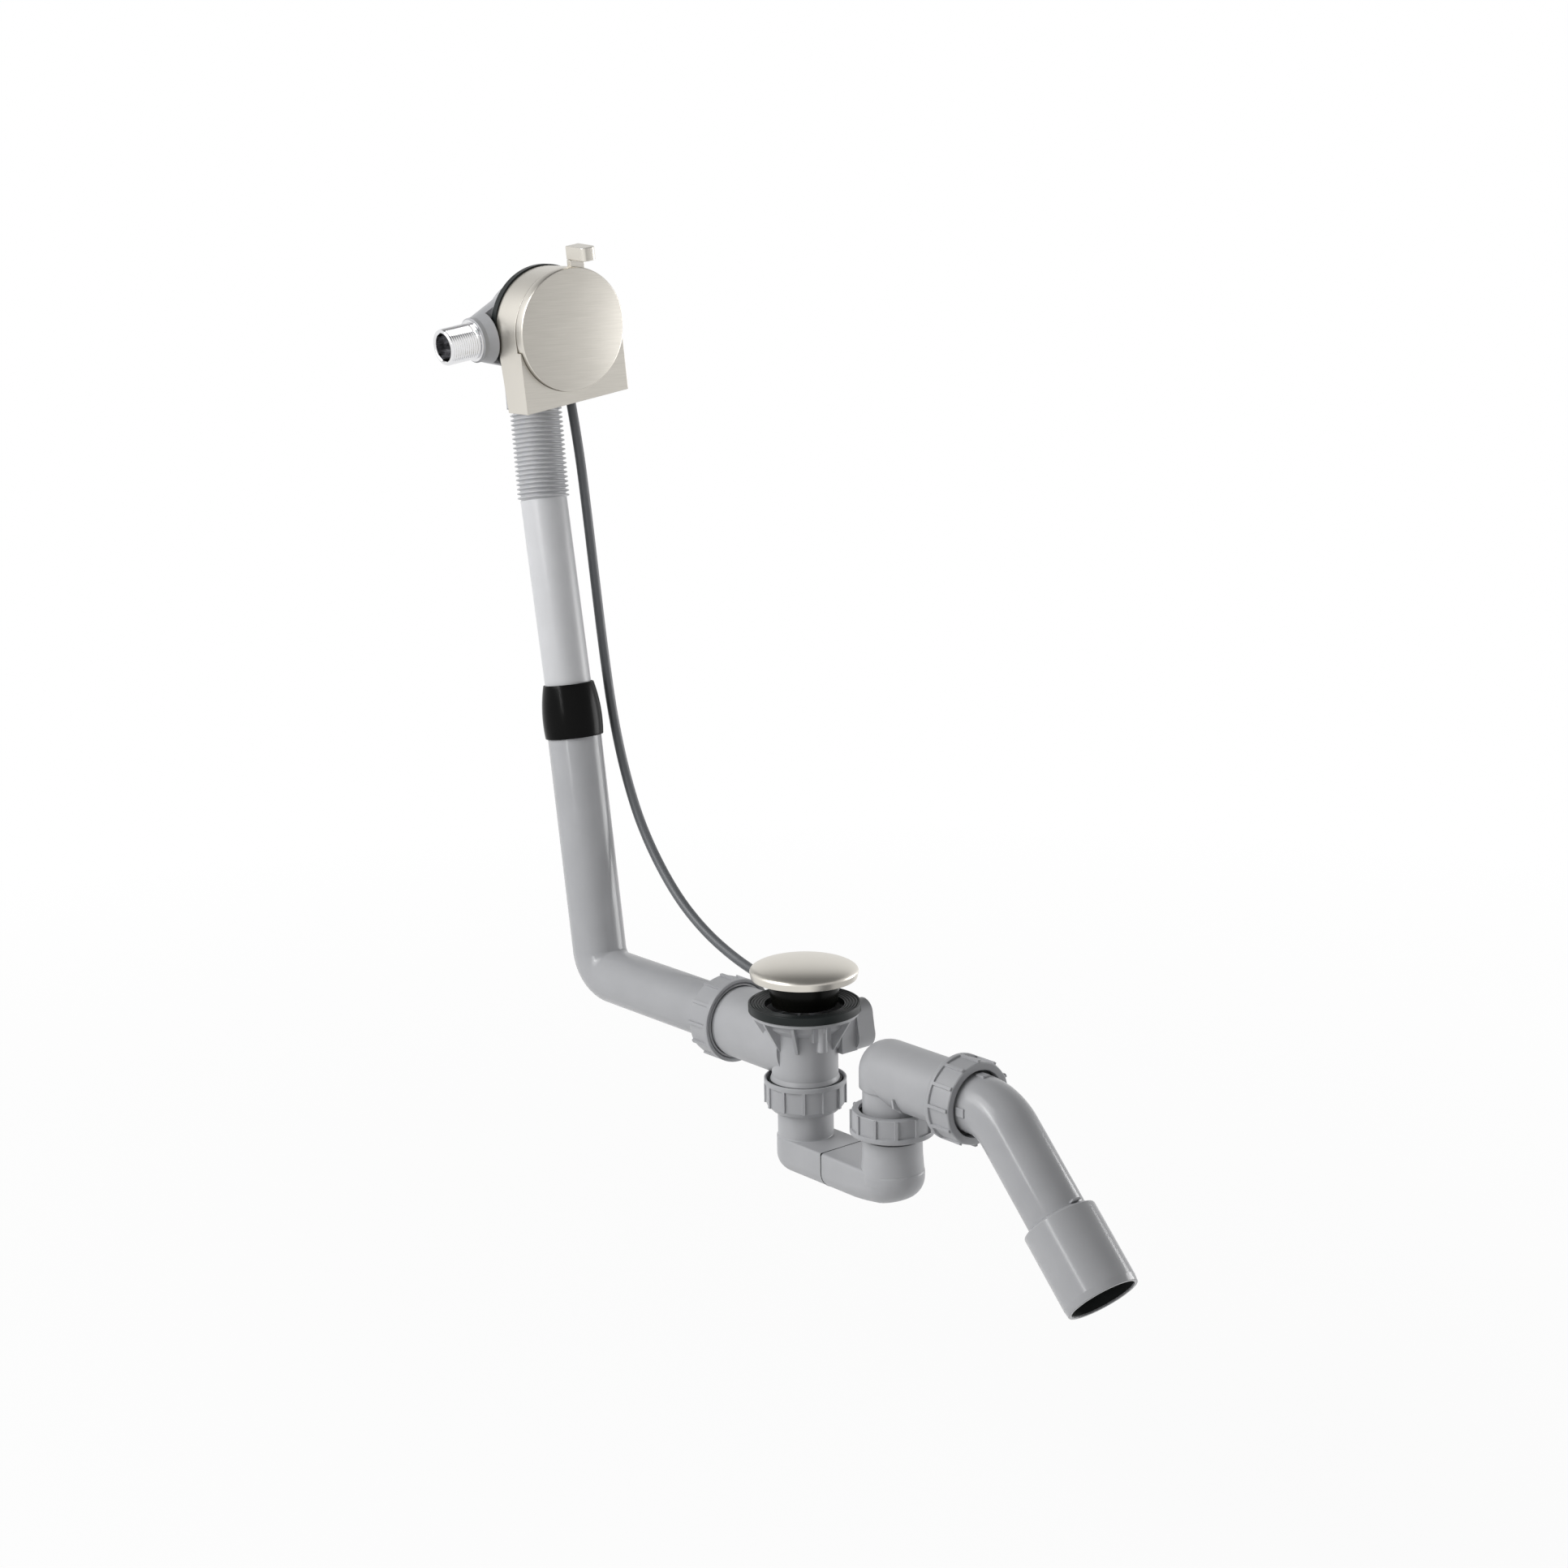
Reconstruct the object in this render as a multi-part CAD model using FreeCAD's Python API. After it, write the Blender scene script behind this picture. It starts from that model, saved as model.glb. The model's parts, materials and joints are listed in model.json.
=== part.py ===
import FreeCAD, Part
import math
import os

# Bath filler with waste and overflow. All sizes in millimetres and degrees.
# The origin is the centre of the bath seat, the top face of the waste gasket.
# +Z is up, +X runs from the overflow side to the outlet, +Y to the cable side.

Vector = FreeCAD.Vector
Rotation = FreeCAD.Rotation

# Clearances
slip = 0.3            # between pieces that lie beside each other
running = 0.06        # round a shaft in its bearing
wall = 2.6            # moulded pipe and housing walls

# Waste body under the bath
gasket_radius = 38.75
gasket_thickness = 5.9
gasket_bore = 27.5
gasket_ridges = 5
flange_radius = 37.4
flange_thickness = 2.4
cup_radius = 29.5
cup_depth = 9.0
throat_radius = 26.8
seat_radius = 24.0
guide_height = 3.5
neck_radius = 23.0
neck_foot = -54.6
gusset_count = 10
gusset_width = 2.2
gusset_foot = -31.0
boss_radius = 3.4
branch_z = -30.85
branch_radius = 25.5
branch_step = 3.2

# Plug
cap_radius = 37.5
cap_rim_z = 17.5
cap_band = 4.5
cap_crown = 8.0
cap_wall = 1.8
cap_stud_radius = 4.0
carrier_radius = 25.6
carrier_foot_radius = 22.6
carrier_foot_z = -1.6
carrier_hub = 7.0
seal_width = 3.0
seal_stand = 1.4
spindle_radius = 3.0
plug_travel = 10.0

# Lift mechanism on the far side of the neck
shaft_x = 15.0
shaft_z = -26.8
shaft_radius = 3.0
shaft_hub = 4.4
shaft_boss = 7.0
finger_width = 7.0
finger_thick = 4.2
finger_arm = 2.6
finger_reach = 15.5
spindle_foot_z = shaft_z + plug_travel / 2 + finger_thick / 2 + slip
mechanism_y = 27.0
mechanism_depth = 15.0
mechanism_wall = 2.0
lobe_radius = 11.0
cable_lobe = (14.0, -12.5, 9.6)

# Unions
pipe_radius = 20.0
nut_radius = 28.6
nut_length = 20.6
nut_ribs = 12
rib_width = 2.8
rib_height = 0.8
thread_step = 0.9
nut_ring = 3.6
washer_depth = 4.0
inlet_nut_z = -54.0
riser_x = 89.0
riser_nut_z = -70.1
riser_radius = 21.6
outlet_z = -29.3
outlet_nut_x = 171.4
outlet_nut_radius = 29.0
elbow_radius = 21.8
elbow_thread_radius = 24.6
elbow_gap = 0.7
outlet_gap = 2.3
overflow_nut_x = -71.2
overflow_nut_radius = 30.1
overflow_nut_length = 25.6
nut_turns = (16.8, 6.8, 2.5, 28.3)   # where the first rib of each nut lies

# Trap
channel_top = -95.0
channel_bottom = -121.5
channel_round = 13.0
inlet_edge = 1.6
outlet_edge = 2.4
seam_x = 38.4
seam_gap = 0.5

# Outlet bend with its spigot
bend_x = 189.3
bend_radius = 40.0
bend_drop = 44.6
bend_roll = 2.8
spigot_radius = 25.0
spigot_start = 80.9
spigot_end = 137.3
tab_width = 6.0
tab_length = 7.4
tab_height = 1.0
tongue_width = 7.0
tongue_top = 23.8
tongue_gap = 1.5

# Overflow pipe
foot_x = -233.7
pipe_seat_x = -64.0
lower_lean = 8.4
upper_lean = 9.8
foot_outer_radius = 40.0
sleeve_at = 200.0
sleeve_below = 21.2
sleeve_above = 18.6
sleeve_radii = (21.6, 22.1, 18.8)
upper_radius = 17.2
upper_insert = 24.0
upper_length = 155.4
bellows_lean = 10.4
bellows_side = 3.3
bellows_length = 84.0
stub_insert = 16.0
stub_length = 23.0
bellows_pitch = 3.37
bellows_tip = 19.2
bellows_root = 16.7

# Overflow head
head_offset = (60.107, -5.147, 36.254)   # from the top of the pipe's stub
head_roll = 8.5
head_yaw = -1.7
face_tilt = 4.0
disc_radius = 44.4
disc_thickness = 8.0
cover_radius = 44.6
cover_foot = 53.0
cover_back = -32.7
panel_back = 4.2
panel_top = -9.0
cover_wall = 2.6
rear_gasket_radius = 45.6
rear_gasket_depth = 5.4
housing_flange = 44.4
housing_flange_depth = 2.2
housing_depth = 27.0
housing_back_radius = 33.0
plate_depth = 4.0
nipple_depth = -46.5
nipple_level = 1.6
nipple_mouth = 82.0
nipple_length = 31.0
nipple_radius = 13.2
nipple_seat = 12.7
nipple_bore = 10.0
collar_at = 53.0
collar_radius = 16.2
funnel_radius = 25.0
lever_offset = 11.4
lever_width = 11.7
lever_top = 58.4
lever_grip_height = 9.6
lever_grip_length = 22.0
lever_stem_depth = 4.6
knob_shaft_radius = 4.0
pulley_radius = 13.0
pulley_back = -55.0
pulley_width = 8.0
pulley_groove = 3.0
plate_slot = 16.0
plate_slot_side = 22.0
plate_slot_low = -32.0
screw_side = 24.0
screw_level = 14.0
screw_length = 20.0
far = 120.0           # past every piece of the head, for cuts

# Cable
cable_radius = 3.6
ferrule_radius = 4.0
upper_ferrule_length = 28.0
lower_ferrule_length = 8.0
socket_wall = 2.3
cable_beside_pipe = [    # from the head's place
    (-49.1, 31.0, -56.8),
    (-41.5, 31.3, -87.8),
    (-33.6, 31.7, -138.8),
    (-26.5, 32.1, -189.8),
    (-19.2, 32.5, -239.8),
    (-10.4, 33.0, -289.3),
    (2.4, 34.4, -334.8),
    (20.4, 36.0, -374.3),
]
cable_to_waste = [
    (-194.0, 37.8, 33.5),
    (-160.5, 38.8, 10.0),
    (-122.0, 39.7, -5.4),
    (-82.0, 39.2, -12.8),
    (-42.0, 36.2, -15.0),
    (-10.0, 36.2, -15.0),
]


def unit(x, y, z):
    v = Vector(x, y, z)
    v.normalize()
    return v


def cylinder(radius, low, high, x=0.0, y=0.0):
    return Part.makeCylinder(radius, high - low, Vector(x, y, low))


def ring(outer, inner, low, high):
    return cylinder(outer, low, high).cut(cylinder(inner, low - 1, high + 1))


def turned(points):
    """A solid of revolution about Z from points given as radius and height."""
    corners = [Vector(r, 0, z) for r, z in points]
    outline = Part.makePolygon(corners + [corners[0]])
    return Part.Face(outline).revolve(Vector(0, 0, 0), Vector(0, 0, 1), 360)


def turned_edges(edges):
    outline = Part.Wire(edges)
    return Part.Face(outline).revolve(Vector(0, 0, 0), Vector(0, 0, 1), 360)


def line(a, b):
    return Part.makeLine(Vector(a[0], 0, a[1]), Vector(b[0], 0, b[1]))


def arc(a, b, c):
    points = [Vector(p[0], 0, p[1]) for p in (a, b, c)]
    return Part.Arc(*points).toShape()


def dome_edges(radius, rise, level):
    """Arcs up an oval dome, from its rim at a level to the axis."""
    def point(angle):
        turn = math.radians(angle)
        return radius * math.cos(turn), level + rise * math.sin(turn)

    stops = (0, 12, 30, 52)
    edges = [arc(point(a), point((a + b) / 2), point(b)) for a, b in zip(stops, stops[1:])]
    r, z = point(stops[-1])
    drop = level + rise - z
    crown = (r * r + drop * drop) / (2 * drop)
    half = math.asin(r / crown) / 2
    middle = (crown * math.sin(half), level + rise - crown * (1 - math.cos(half)))
    edges.append(arc((r, z), middle, (0, level + rise)))
    return edges


def aimed(shape, origin, direction, across=None):
    """Turn a shape's Z axis to a direction and set its origin down at a place."""
    z = Vector(*direction)
    side = Vector(*across) if across else Vector(0, 1, 0)
    out = shape.copy()
    turn = Rotation(side.cross(z), side, z, "ZYX")
    out.Placement = FreeCAD.Placement(Vector(*origin), turn).multiply(shape.Placement)
    return out


def fused(shapes):
    whole = shapes[0].fuse(shapes[1:]) if len(shapes) > 1 else shapes[0]
    return whole.removeSplitter()


def tube_along(wire, outer, inner, start, direction):
    """A pipe swept along a wire that is made of runs and tangent arcs."""
    walls = []
    for radius in (outer, inner):
        section = Part.Wire(Part.makeCircle(radius, start, direction))
        walls.append(wire.makePipeShell([section], True, True))
    return walls[0].cut(walls[1])


def rounded_path(points, radii):
    """Runs between points, joined at each inner point by a tangent arc of the given radius."""
    edges = []
    here = points[0]
    for i in range(1, len(points) - 1):
        a = (points[i - 1] - points[i]).normalize()
        b = (points[i + 1] - points[i]).normalize()
        half_turn = (math.pi - a.getAngle(b)) / 2
        tangent = radii[i - 1] * math.tan(half_turn)
        first = points[i] + a * tangent
        last = points[i] + b * tangent
        bisector = (a + b).normalize()
        reach = radii[i - 1] / math.cos(half_turn) - radii[i - 1]
        middle = points[i] + bisector * reach
        edges.append(Part.LineSegment(here, first).toShape())
        edges.append(Part.Arc(first, middle, last).toShape())
        here = last
    edges.append(Part.LineSegment(here, points[-1]).toShape())
    return Part.Wire(edges)


# Directions of the leaning overflow pipe
lower_axis = unit(-math.sin(math.radians(lower_lean)), 0, math.cos(math.radians(lower_lean)))
upper_axis = unit(-math.sin(math.radians(upper_lean)), 0, math.cos(math.radians(upper_lean)))
bellows_axis = unit(
    -math.sin(math.radians(bellows_lean)), math.sin(math.radians(bellows_side)), 1)
pipe_foot = Vector(foot_x, 0, branch_z)
sleeve_middle = pipe_foot + lower_axis * sleeve_at
bellows_foot = sleeve_middle + upper_axis * upper_length

# The head's place over the pipe, and the cable's way from it to the waste
stub_top = bellows_foot + bellows_axis * (bellows_length - stub_insert + stub_length)
head_place = tuple(round(stub_top[i] + head_offset[i], 3) for i in range(3))
cable_route = [tuple(round(head_place[i] + p[i], 3) for i in range(3)) for p in cable_beside_pipe]
cable_route += cable_to_waste

# The head's own frame: X out of the face, Y to the right, Z up its sides
head_turn = Rotation(Vector(0, 0, 1), head_yaw).multiply(Rotation(Vector(1, 0, 0), head_roll))
head_frame = FreeCAD.Placement(Vector(*head_place), head_turn)
face_frame = head_frame.multiply(
    FreeCAD.Placement(Vector(0, 0, 0), Rotation(Vector(0, 1, 0), face_tilt)))


def in_head(shape):
    out = shape.copy()
    out.Placement = head_frame.multiply(shape.Placement)
    return out


def in_face(shape):
    out = shape.copy()
    out.Placement = face_frame.multiply(shape.Placement)
    return out


def disc_x(radius, low, high, y=0.0, z=0.0):
    """A cylinder along the head's X axis."""
    return Part.makeCylinder(radius, high - low, Vector(low, y, z), Vector(1, 0, 0))


def box(low, high):
    size = [high[i] - low[i] for i in range(3)]
    return Part.makeBox(size[0], size[1], size[2], Vector(*low))


# Waste

def make_flange_gasket():
    """A rubber ring, dished inwards, with concentric ridges on its seat."""
    rim = cap_radius + 0.15
    pitch = (rim - gasket_bore) / gasket_ridges
    points = [(gasket_bore, -gasket_thickness), (gasket_radius, -gasket_thickness)]
    points += [(gasket_radius, -0.3), (gasket_radius - 0.3, 0.0), (rim, 0.0)]
    for i in range(gasket_ridges):
        outer = rim - i * pitch
        drop = 0.9 + 0.35 * i
        points.append((outer - 0.30 * pitch, -drop - 0.7))
        points.append((outer - 0.55 * pitch, -drop - 0.7))
        points.append((outer - 0.80 * pitch, -drop))
    points.append((gasket_bore, -3.2))
    return turned(points)


def waste_outside():
    under = -gasket_thickness - flange_thickness
    return turned([
        (0, -gasket_thickness), (flange_radius, -gasket_thickness), (flange_radius, under),
        (cup_radius, under), (cup_radius, under - cup_depth + 3),
        (neck_radius, under - cup_depth - 2), (neck_radius, neck_foot + 3),
        (neck_radius + 1.2, neck_foot), (neck_radius + 1.2, inlet_nut_z - 12), (0, inlet_nut_z - 12)])


def waste_inside():
    seat = -gasket_thickness - 10.6
    bore = neck_radius - wall
    return turned([
        (0, 1), (throat_radius, 1), (throat_radius, seat + guide_height), (seat_radius, seat + guide_height),
        (seat_radius, seat), (bore, seat), (bore, inlet_nut_z - 13), (0, inlet_nut_z - 13)])


def gusset(angle):
    top = -gasket_thickness - flange_thickness
    outline = Part.makePolygon([
        Vector(neck_radius - 1, 0, top + 1), Vector(flange_radius - 1.0, 0, top + 1),
        Vector(flange_radius - 1.0, 0, top - 1.2), Vector(neck_radius + 0.4, 0, gusset_foot),
        Vector(neck_radius - 1, 0, gusset_foot), Vector(neck_radius - 1, 0, top + 1)])
    plate = Part.Face(outline).extrude(Vector(0, gusset_width, 0))
    plate.translate(Vector(0, -gusset_width / 2, 0))
    plate.rotate(Vector(0, 0, 0), Vector(0, 0, 1), angle)
    return plate


def mechanism_outline(grow, low, high):
    """The lobed shape of the mechanism housing, drawn in XZ and run along Y."""
    cx, cz, cr = cable_lobe
    lobes = [(shaft_x, shaft_z, lobe_radius + grow), (cx, cz, cr + grow)]
    discs = []
    for x, z, r in lobes:
        discs.append(Part.makeCylinder(r, high - low, Vector(x, low, z), Vector(0, 1, 0)))
    bridge = Part.makePolygon([
        Vector(shaft_x - lobe_radius - grow, low, shaft_z), Vector(shaft_x + lobe_radius + grow, low, shaft_z),
        Vector(cx + cr + grow, low, cz), Vector(cx - cr - grow, low, cz),
        Vector(shaft_x - lobe_radius - grow, low, shaft_z)])
    discs.append(Part.Face(bridge).extrude(Vector(0, high - low, 0)))
    return fused(discs)


def under_flange(shape):
    """Keeps a shape below the flange and outside the gasket."""
    under = -gasket_thickness - flange_thickness - slip
    return shape.cut(cylinder(gasket_radius + slip, under, 10))


def along_y(radius, low, high, x, z):
    return Part.makeCylinder(radius, high - low, Vector(x, low, z), Vector(0, 1, 0))


def along_x(radius, low, high, y, z):
    return Part.makeCylinder(radius, high - low, Vector(low, y, z), Vector(1, 0, 0))


def make_waste_body():
    """One moulding: flange, cup, neck, overflow branch and the back of the mechanism housing."""
    thread_end = overflow_nut_x - 17.5
    back = mechanism_y + mechanism_wall
    solid = [waste_outside()]
    angles = [-90 + i * 360.0 / gusset_count for i in range(gusset_count)]
    solid += [gusset(angle) for angle in angles if not 50 < angle < 130]
    branch_end = overflow_nut_x + branch_step
    branch = along_x(branch_radius, branch_end, 0, 0, branch_z)
    branch = branch.cut(ring(gasket_radius + slip, 1, -gasket_thickness, 0))
    solid.append(branch.cut(ring(nut_radius + slip, 1, -90, inlet_nut_z + slip)))
    solid.append(along_x(branch_radius - thread_step, thread_end, branch_end + 1, 0, branch_z))
    solid.append(along_y(shaft_boss, 8, back, shaft_x, shaft_z))
    solid.append(under_flange(mechanism_outline(0, mechanism_y, back)))
    solid.append(box((4, 14, shaft_z - 9), (shaft_x + 8, mechanism_y + 1, -7)))
    block = 36.0 * 2 - 90
    lug = cylinder(boss_radius, -27, -8.0, flange_radius - 6.5, 0)
    lug = lug.fuse(box((neck_radius - 2, -6.5, -20), (flange_radius - 6, 6.5, -8.0)))
    lug.rotate(Vector(0, 0, 0), Vector(0, 0, 1), block)
    solid.append(lug)
    body = fused(solid)
    holes = [waste_inside()]
    holes.append(along_x(pipe_radius + slip, thread_end - 1, pipe_seat_x + 2, 0, branch_z))
    holes.append(along_x(pipe_radius - wall, pipe_seat_x + 1, 0, 0, branch_z))
    holes.append(along_y(shaft_radius + running, 0, back + 1, shaft_x, shaft_z))
    holes.append(along_y(shaft_radius + 1.6, back - 4, back + 1, shaft_x, shaft_z))
    return body.cut(holes[0].fuse(holes[1:]))


def make_spindle_guide():
    """A three-legged spider pressed into the throat, with a bearing for the plug's spindle."""
    low = -gasket_thickness - 10.6
    high = low + guide_height
    rim = ring(seat_radius - 0.05, seat_radius - 2.4, low, high)
    parts = [rim, cylinder(5.5, low, high)]
    for i in range(3):
        leg = box((0, -1.4, low), (seat_radius - 1, 1.4, high))
        leg.rotate(Vector(0, 0, 0), Vector(0, 0, 1), 90 + 120 * i)
        parts.append(leg)
    return fused(parts).cut(cylinder(spindle_radius + running, low - 1, high + 1))


# Plug

def make_plug_cap():
    """A thin domed lens with a straight rim band and a stud underneath."""
    edge = cap_rim_z + cap_band
    top = edge + cap_crown
    inner = cap_radius - cap_wall
    low = edge - 0.4
    outer_dome = dome_edges(cap_radius, cap_crown, edge)
    inner_dome = dome_edges(inner, top - cap_wall - low, low)
    edges = outer_dome[::-1]
    edges += [line((cap_radius, edge), (cap_radius - 0.9, cap_rim_z)),
              line((cap_radius - 0.9, cap_rim_z), (inner, cap_rim_z)), line((inner, cap_rim_z), (inner, low))]
    edges += inner_dome
    edges.append(line((0, top - cap_wall), (0, top)))
    return turned_edges(edges).fuse(cylinder(cap_stud_radius, cap_rim_z - 5, top - cap_wall + 0.3))


def make_plug_carrier():
    """Plate under the cap, running down into a cone that enters the throat."""
    plate = cap_rim_z + 2.8
    under = cap_rim_z + 0.8
    seal_high = under - 1.5
    seal_low = seal_high - seal_width
    slope = (carrier_radius - carrier_foot_radius) / (under - carrier_foot_z)
    mid = carrier_foot_radius + slope * (seal_low - carrier_foot_z)
    points = [
        (cap_stud_radius + running, plate), (cap_radius - cap_wall - slip, plate),
        (cap_radius - cap_wall - slip, under), (carrier_radius + 1.0, under), (carrier_radius + 1.0, seal_high),
        (carrier_radius - 1.0, seal_high), (carrier_radius - 1.0, seal_low), (mid, seal_low),
        (carrier_foot_radius, carrier_foot_z), (carrier_foot_radius - 2.2, carrier_foot_z),
        (carrier_radius - 3.4, under - 2), (carrier_hub, under - 2), (carrier_hub, 0.5),
        (spindle_radius, 0.5), (spindle_radius, cap_rim_z - 8), (cap_stud_radius + running, cap_rim_z - 8)]
    return turned(points)


def make_plug_seal():
    high = cap_rim_z + 0.8 - 1.5
    low = high - seal_width
    inner = carrier_radius - 1.0
    lip = carrier_radius + seal_stand
    return turned([(inner, low), (inner, high), (lip, high), (lip, high - 0.9), (inner + 1.2, low)])


def make_plug_spindle():
    foot = spindle_foot_z
    return turned([(0, foot), (spindle_radius - 0.8, foot), (spindle_radius, foot + 0.8),
                   (spindle_radius, cap_rim_z - 9), (0, cap_rim_z - 9)])


# Lift mechanism

def make_lift_shaft():
    """Shaft through the neck wall with a finger that reaches under the plug's spindle."""
    lift = math.degrees(math.asin(plug_travel / 2 / finger_reach))
    tip_x = shaft_x - finger_reach
    shaft = along_y(shaft_radius, -finger_width / 2, mechanism_y + mechanism_depth - 5, shaft_x, shaft_z)
    hub = along_y(shaft_hub, -finger_width / 2, finger_width / 2, shaft_x, shaft_z)
    arm = box((tip_x, -finger_width / 2, -finger_arm / 2), (shaft_x, finger_width / 2, finger_arm / 2))
    tip = along_y(finger_thick / 2, -finger_width / 2, finger_width / 2, tip_x, 0)
    arm = arm.fuse(tip)
    arm.translate(Vector(0, 0, shaft_z))
    arm.rotate(Vector(shaft_x, 0, shaft_z), Vector(0, 1, 0), lift)
    print("finger lift each way", round(lift, 2))
    return fused([shaft, hub, arm])


def make_shaft_seal():
    back = mechanism_y + mechanism_wall
    seal = ring(shaft_radius + 1.55, shaft_radius + 0.05, back - 3.8, back - 0.6)
    return aimed(seal, (shaft_x, 0, shaft_z), (0, 1, 0), (1, 0, 0))


def make_cable_crank():
    """Drum and arm on the shaft's outer end that the cable's wire turns."""
    low = mechanism_y + mechanism_wall + slip
    high = mechanism_y + mechanism_depth - mechanism_wall - slip
    drum = along_y(lobe_radius - mechanism_wall - 1.0, low + 2, high - 2, shaft_x, shaft_z)
    groove = along_y(lobe_radius, low + 4, high - 4, shaft_x, shaft_z)
    core = along_y(lobe_radius - mechanism_wall - 2.6, low + 3, high - 3, shaft_x, shaft_z)
    collar = along_y(shaft_radius + 2.4, low, high, shaft_x, shaft_z)
    crank = drum.cut(groove).fuse([core, collar]).removeSplitter()
    return crank.cut(along_y(shaft_radius, low - 1, high + 1, shaft_x, shaft_z))


def make_mechanism_cover():
    low = mechanism_y + mechanism_wall
    high = mechanism_y + mechanism_depth
    hollow = mechanism_outline(-mechanism_wall, low - 1, high - mechanism_wall)
    under = -gasket_thickness - flange_thickness - slip - mechanism_wall
    hollow = hollow.cut(box((-60, 0, under), (60, 80, 20)))
    entry = Vector(*cable_route[-1])
    gland = along_x(ferrule_radius + 1.8, entry.x - 3, cable_lobe[0], entry.y, entry.z)
    shell = mechanism_outline(0, low, high).fuse(gland).removeSplitter()
    shell = under_flange(shell).cut(hollow)
    return shell.cut(along_x(ferrule_radius + 0.02, entry.x - 4, cable_lobe[0], entry.y, entry.z))


# Unions

def make_nut(radius, length, bores, mouth_depth, chamfer, turn):
    """A union nut about Z: round ring at the mouth above, flat panels with a rib at each corner,
    and a chamfered end with the small hole below."""
    mouth_bore, end_bore = bores
    step = 360.0 / nut_ribs
    corner = radius - rib_height
    edge = Vector(corner, 0, -length)
    corners = [Rotation(Vector(0, 0, 1), turn + i * step).multVec(edge) for i in range(nut_ribs)]
    solid = [Part.Face(Part.makePolygon(corners + corners[:1])).extrude(Vector(0, 0, length - nut_ring / 2))]
    solid.append(cylinder(radius, -nut_ring, 0))
    for i in range(nut_ribs):
        rib = box((corner - 2, -rib_width / 2, -length), (radius + 1, rib_width / 2, -nut_ring / 2))
        rib.rotate(Vector(0, 0, 0), Vector(0, 0, 1), turn + i * step)
        solid.append(rib)
    envelope = turned([(0, 0), (radius - 0.6, 0), (radius, -0.6), (radius, -length + chamfer),
                       (radius - chamfer, -length), (0, -length)])
    nut = solid[0].fuse(solid[1:]).common(envelope)
    hollow = cylinder(mouth_bore, -mouth_depth, 1).fuse(cylinder(end_bore, -length - 1, 1))
    return nut.cut(hollow).removeSplitter()


def make_washer(nut, pipe, low, high):
    return turned([(pipe, low), (nut, low), (nut, high), (nut - 0.4, high + 0.4), (pipe, high + 0.4)])


# Trap

def rounded_loop(corners):
    """A closed outline from corners given as point and rounding; 0 leaves a corner sharp."""
    edges = []
    starts = []
    count = len(corners)
    for i in range(count):
        here, radius = corners[i]
        if not radius:
            starts.append((here, None, here))
            continue
        back = (corners[i - 1][0] - here).normalize()
        ahead = (corners[(i + 1) % count][0] - here).normalize()
        half = back.getAngle(ahead) / 2
        reach = radius / math.tan(half)
        middle = here + (back + ahead).normalize() * (radius / math.sin(half) - radius)
        starts.append((here + back * reach, middle, here + ahead * reach))
    for i in range(count):
        first, middle, last = starts[i]
        if middle:
            edges.append(Part.Arc(first, middle, last).toShape())
        edges.append(Part.makeLine(last, starts[(i + 1) % count][0]))
    return Part.Wire(edges)


def channel_section(inset, x, edge):
    """The trap channel across X: flat top, straight sides, generous round bottom corners."""
    half = pipe_radius - inset
    top = channel_top - inset
    low = channel_bottom + inset
    corners = [(Vector(x, -half, top), edge), (Vector(x, half, top), edge),
               (Vector(x, half, low), channel_round - inset), (Vector(x, -half, low), channel_round - inset)]
    return Part.Face(rounded_loop(corners))


def channel_run(inset, x_from, x_to, edge=0):
    return channel_section(inset, x_from, edge).extrude(Vector(x_to - x_from, 0, 0))


def channel_end(inset, x, radius):
    """The rounded end of the channel below a standing pipe."""
    half = radius - inset
    low = channel_bottom + inset
    r = channel_round - inset
    k = r * (1 - math.sqrt(0.5))
    top = channel_top - inset
    edges = [line((0, top), (half, top)), line((half, top), (half, low + r)),
             arc((half, low + r), (half - k, low + k), (half - r, low)),
             line((half - r, low), (0, low)), line((0, low), (0, top))]
    end = turned_edges(edges)
    end.translate(Vector(x, 0, 0))
    return end


def top_rounded(shape, low_x, high_x, radius):
    """Rounds the edges of the channel's flat top between two places along it."""
    edges = []
    for edge in shape.Edges:
        middle = edge.valueAt((edge.FirstParameter + edge.LastParameter) / 2)
        if abs(middle.z - channel_top) < 0.01 and low_x < middle.x < high_x:
            edges.append(edge)
    return shape.makeFillet(radius, edges)


def make_trap_inlet():
    """Dip pipe and the first half of the channel, up to the seam."""
    top = inlet_nut_z - nut_length + 8
    outside = [cylinder(pipe_radius, channel_top - 1, top), channel_end(0, 0, pipe_radius), channel_run(0, 0, seam_x)]
    inside = [cylinder(pipe_radius - wall, channel_top - wall - 1, top + 1),
              channel_end(wall, 0, pipe_radius), channel_run(wall, 0, seam_x + 1)]
    body = top_rounded(fused(outside), 0, seam_x - 1, inlet_edge)
    return body.cut(inside[0].fuse(inside[1:]))


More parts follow.
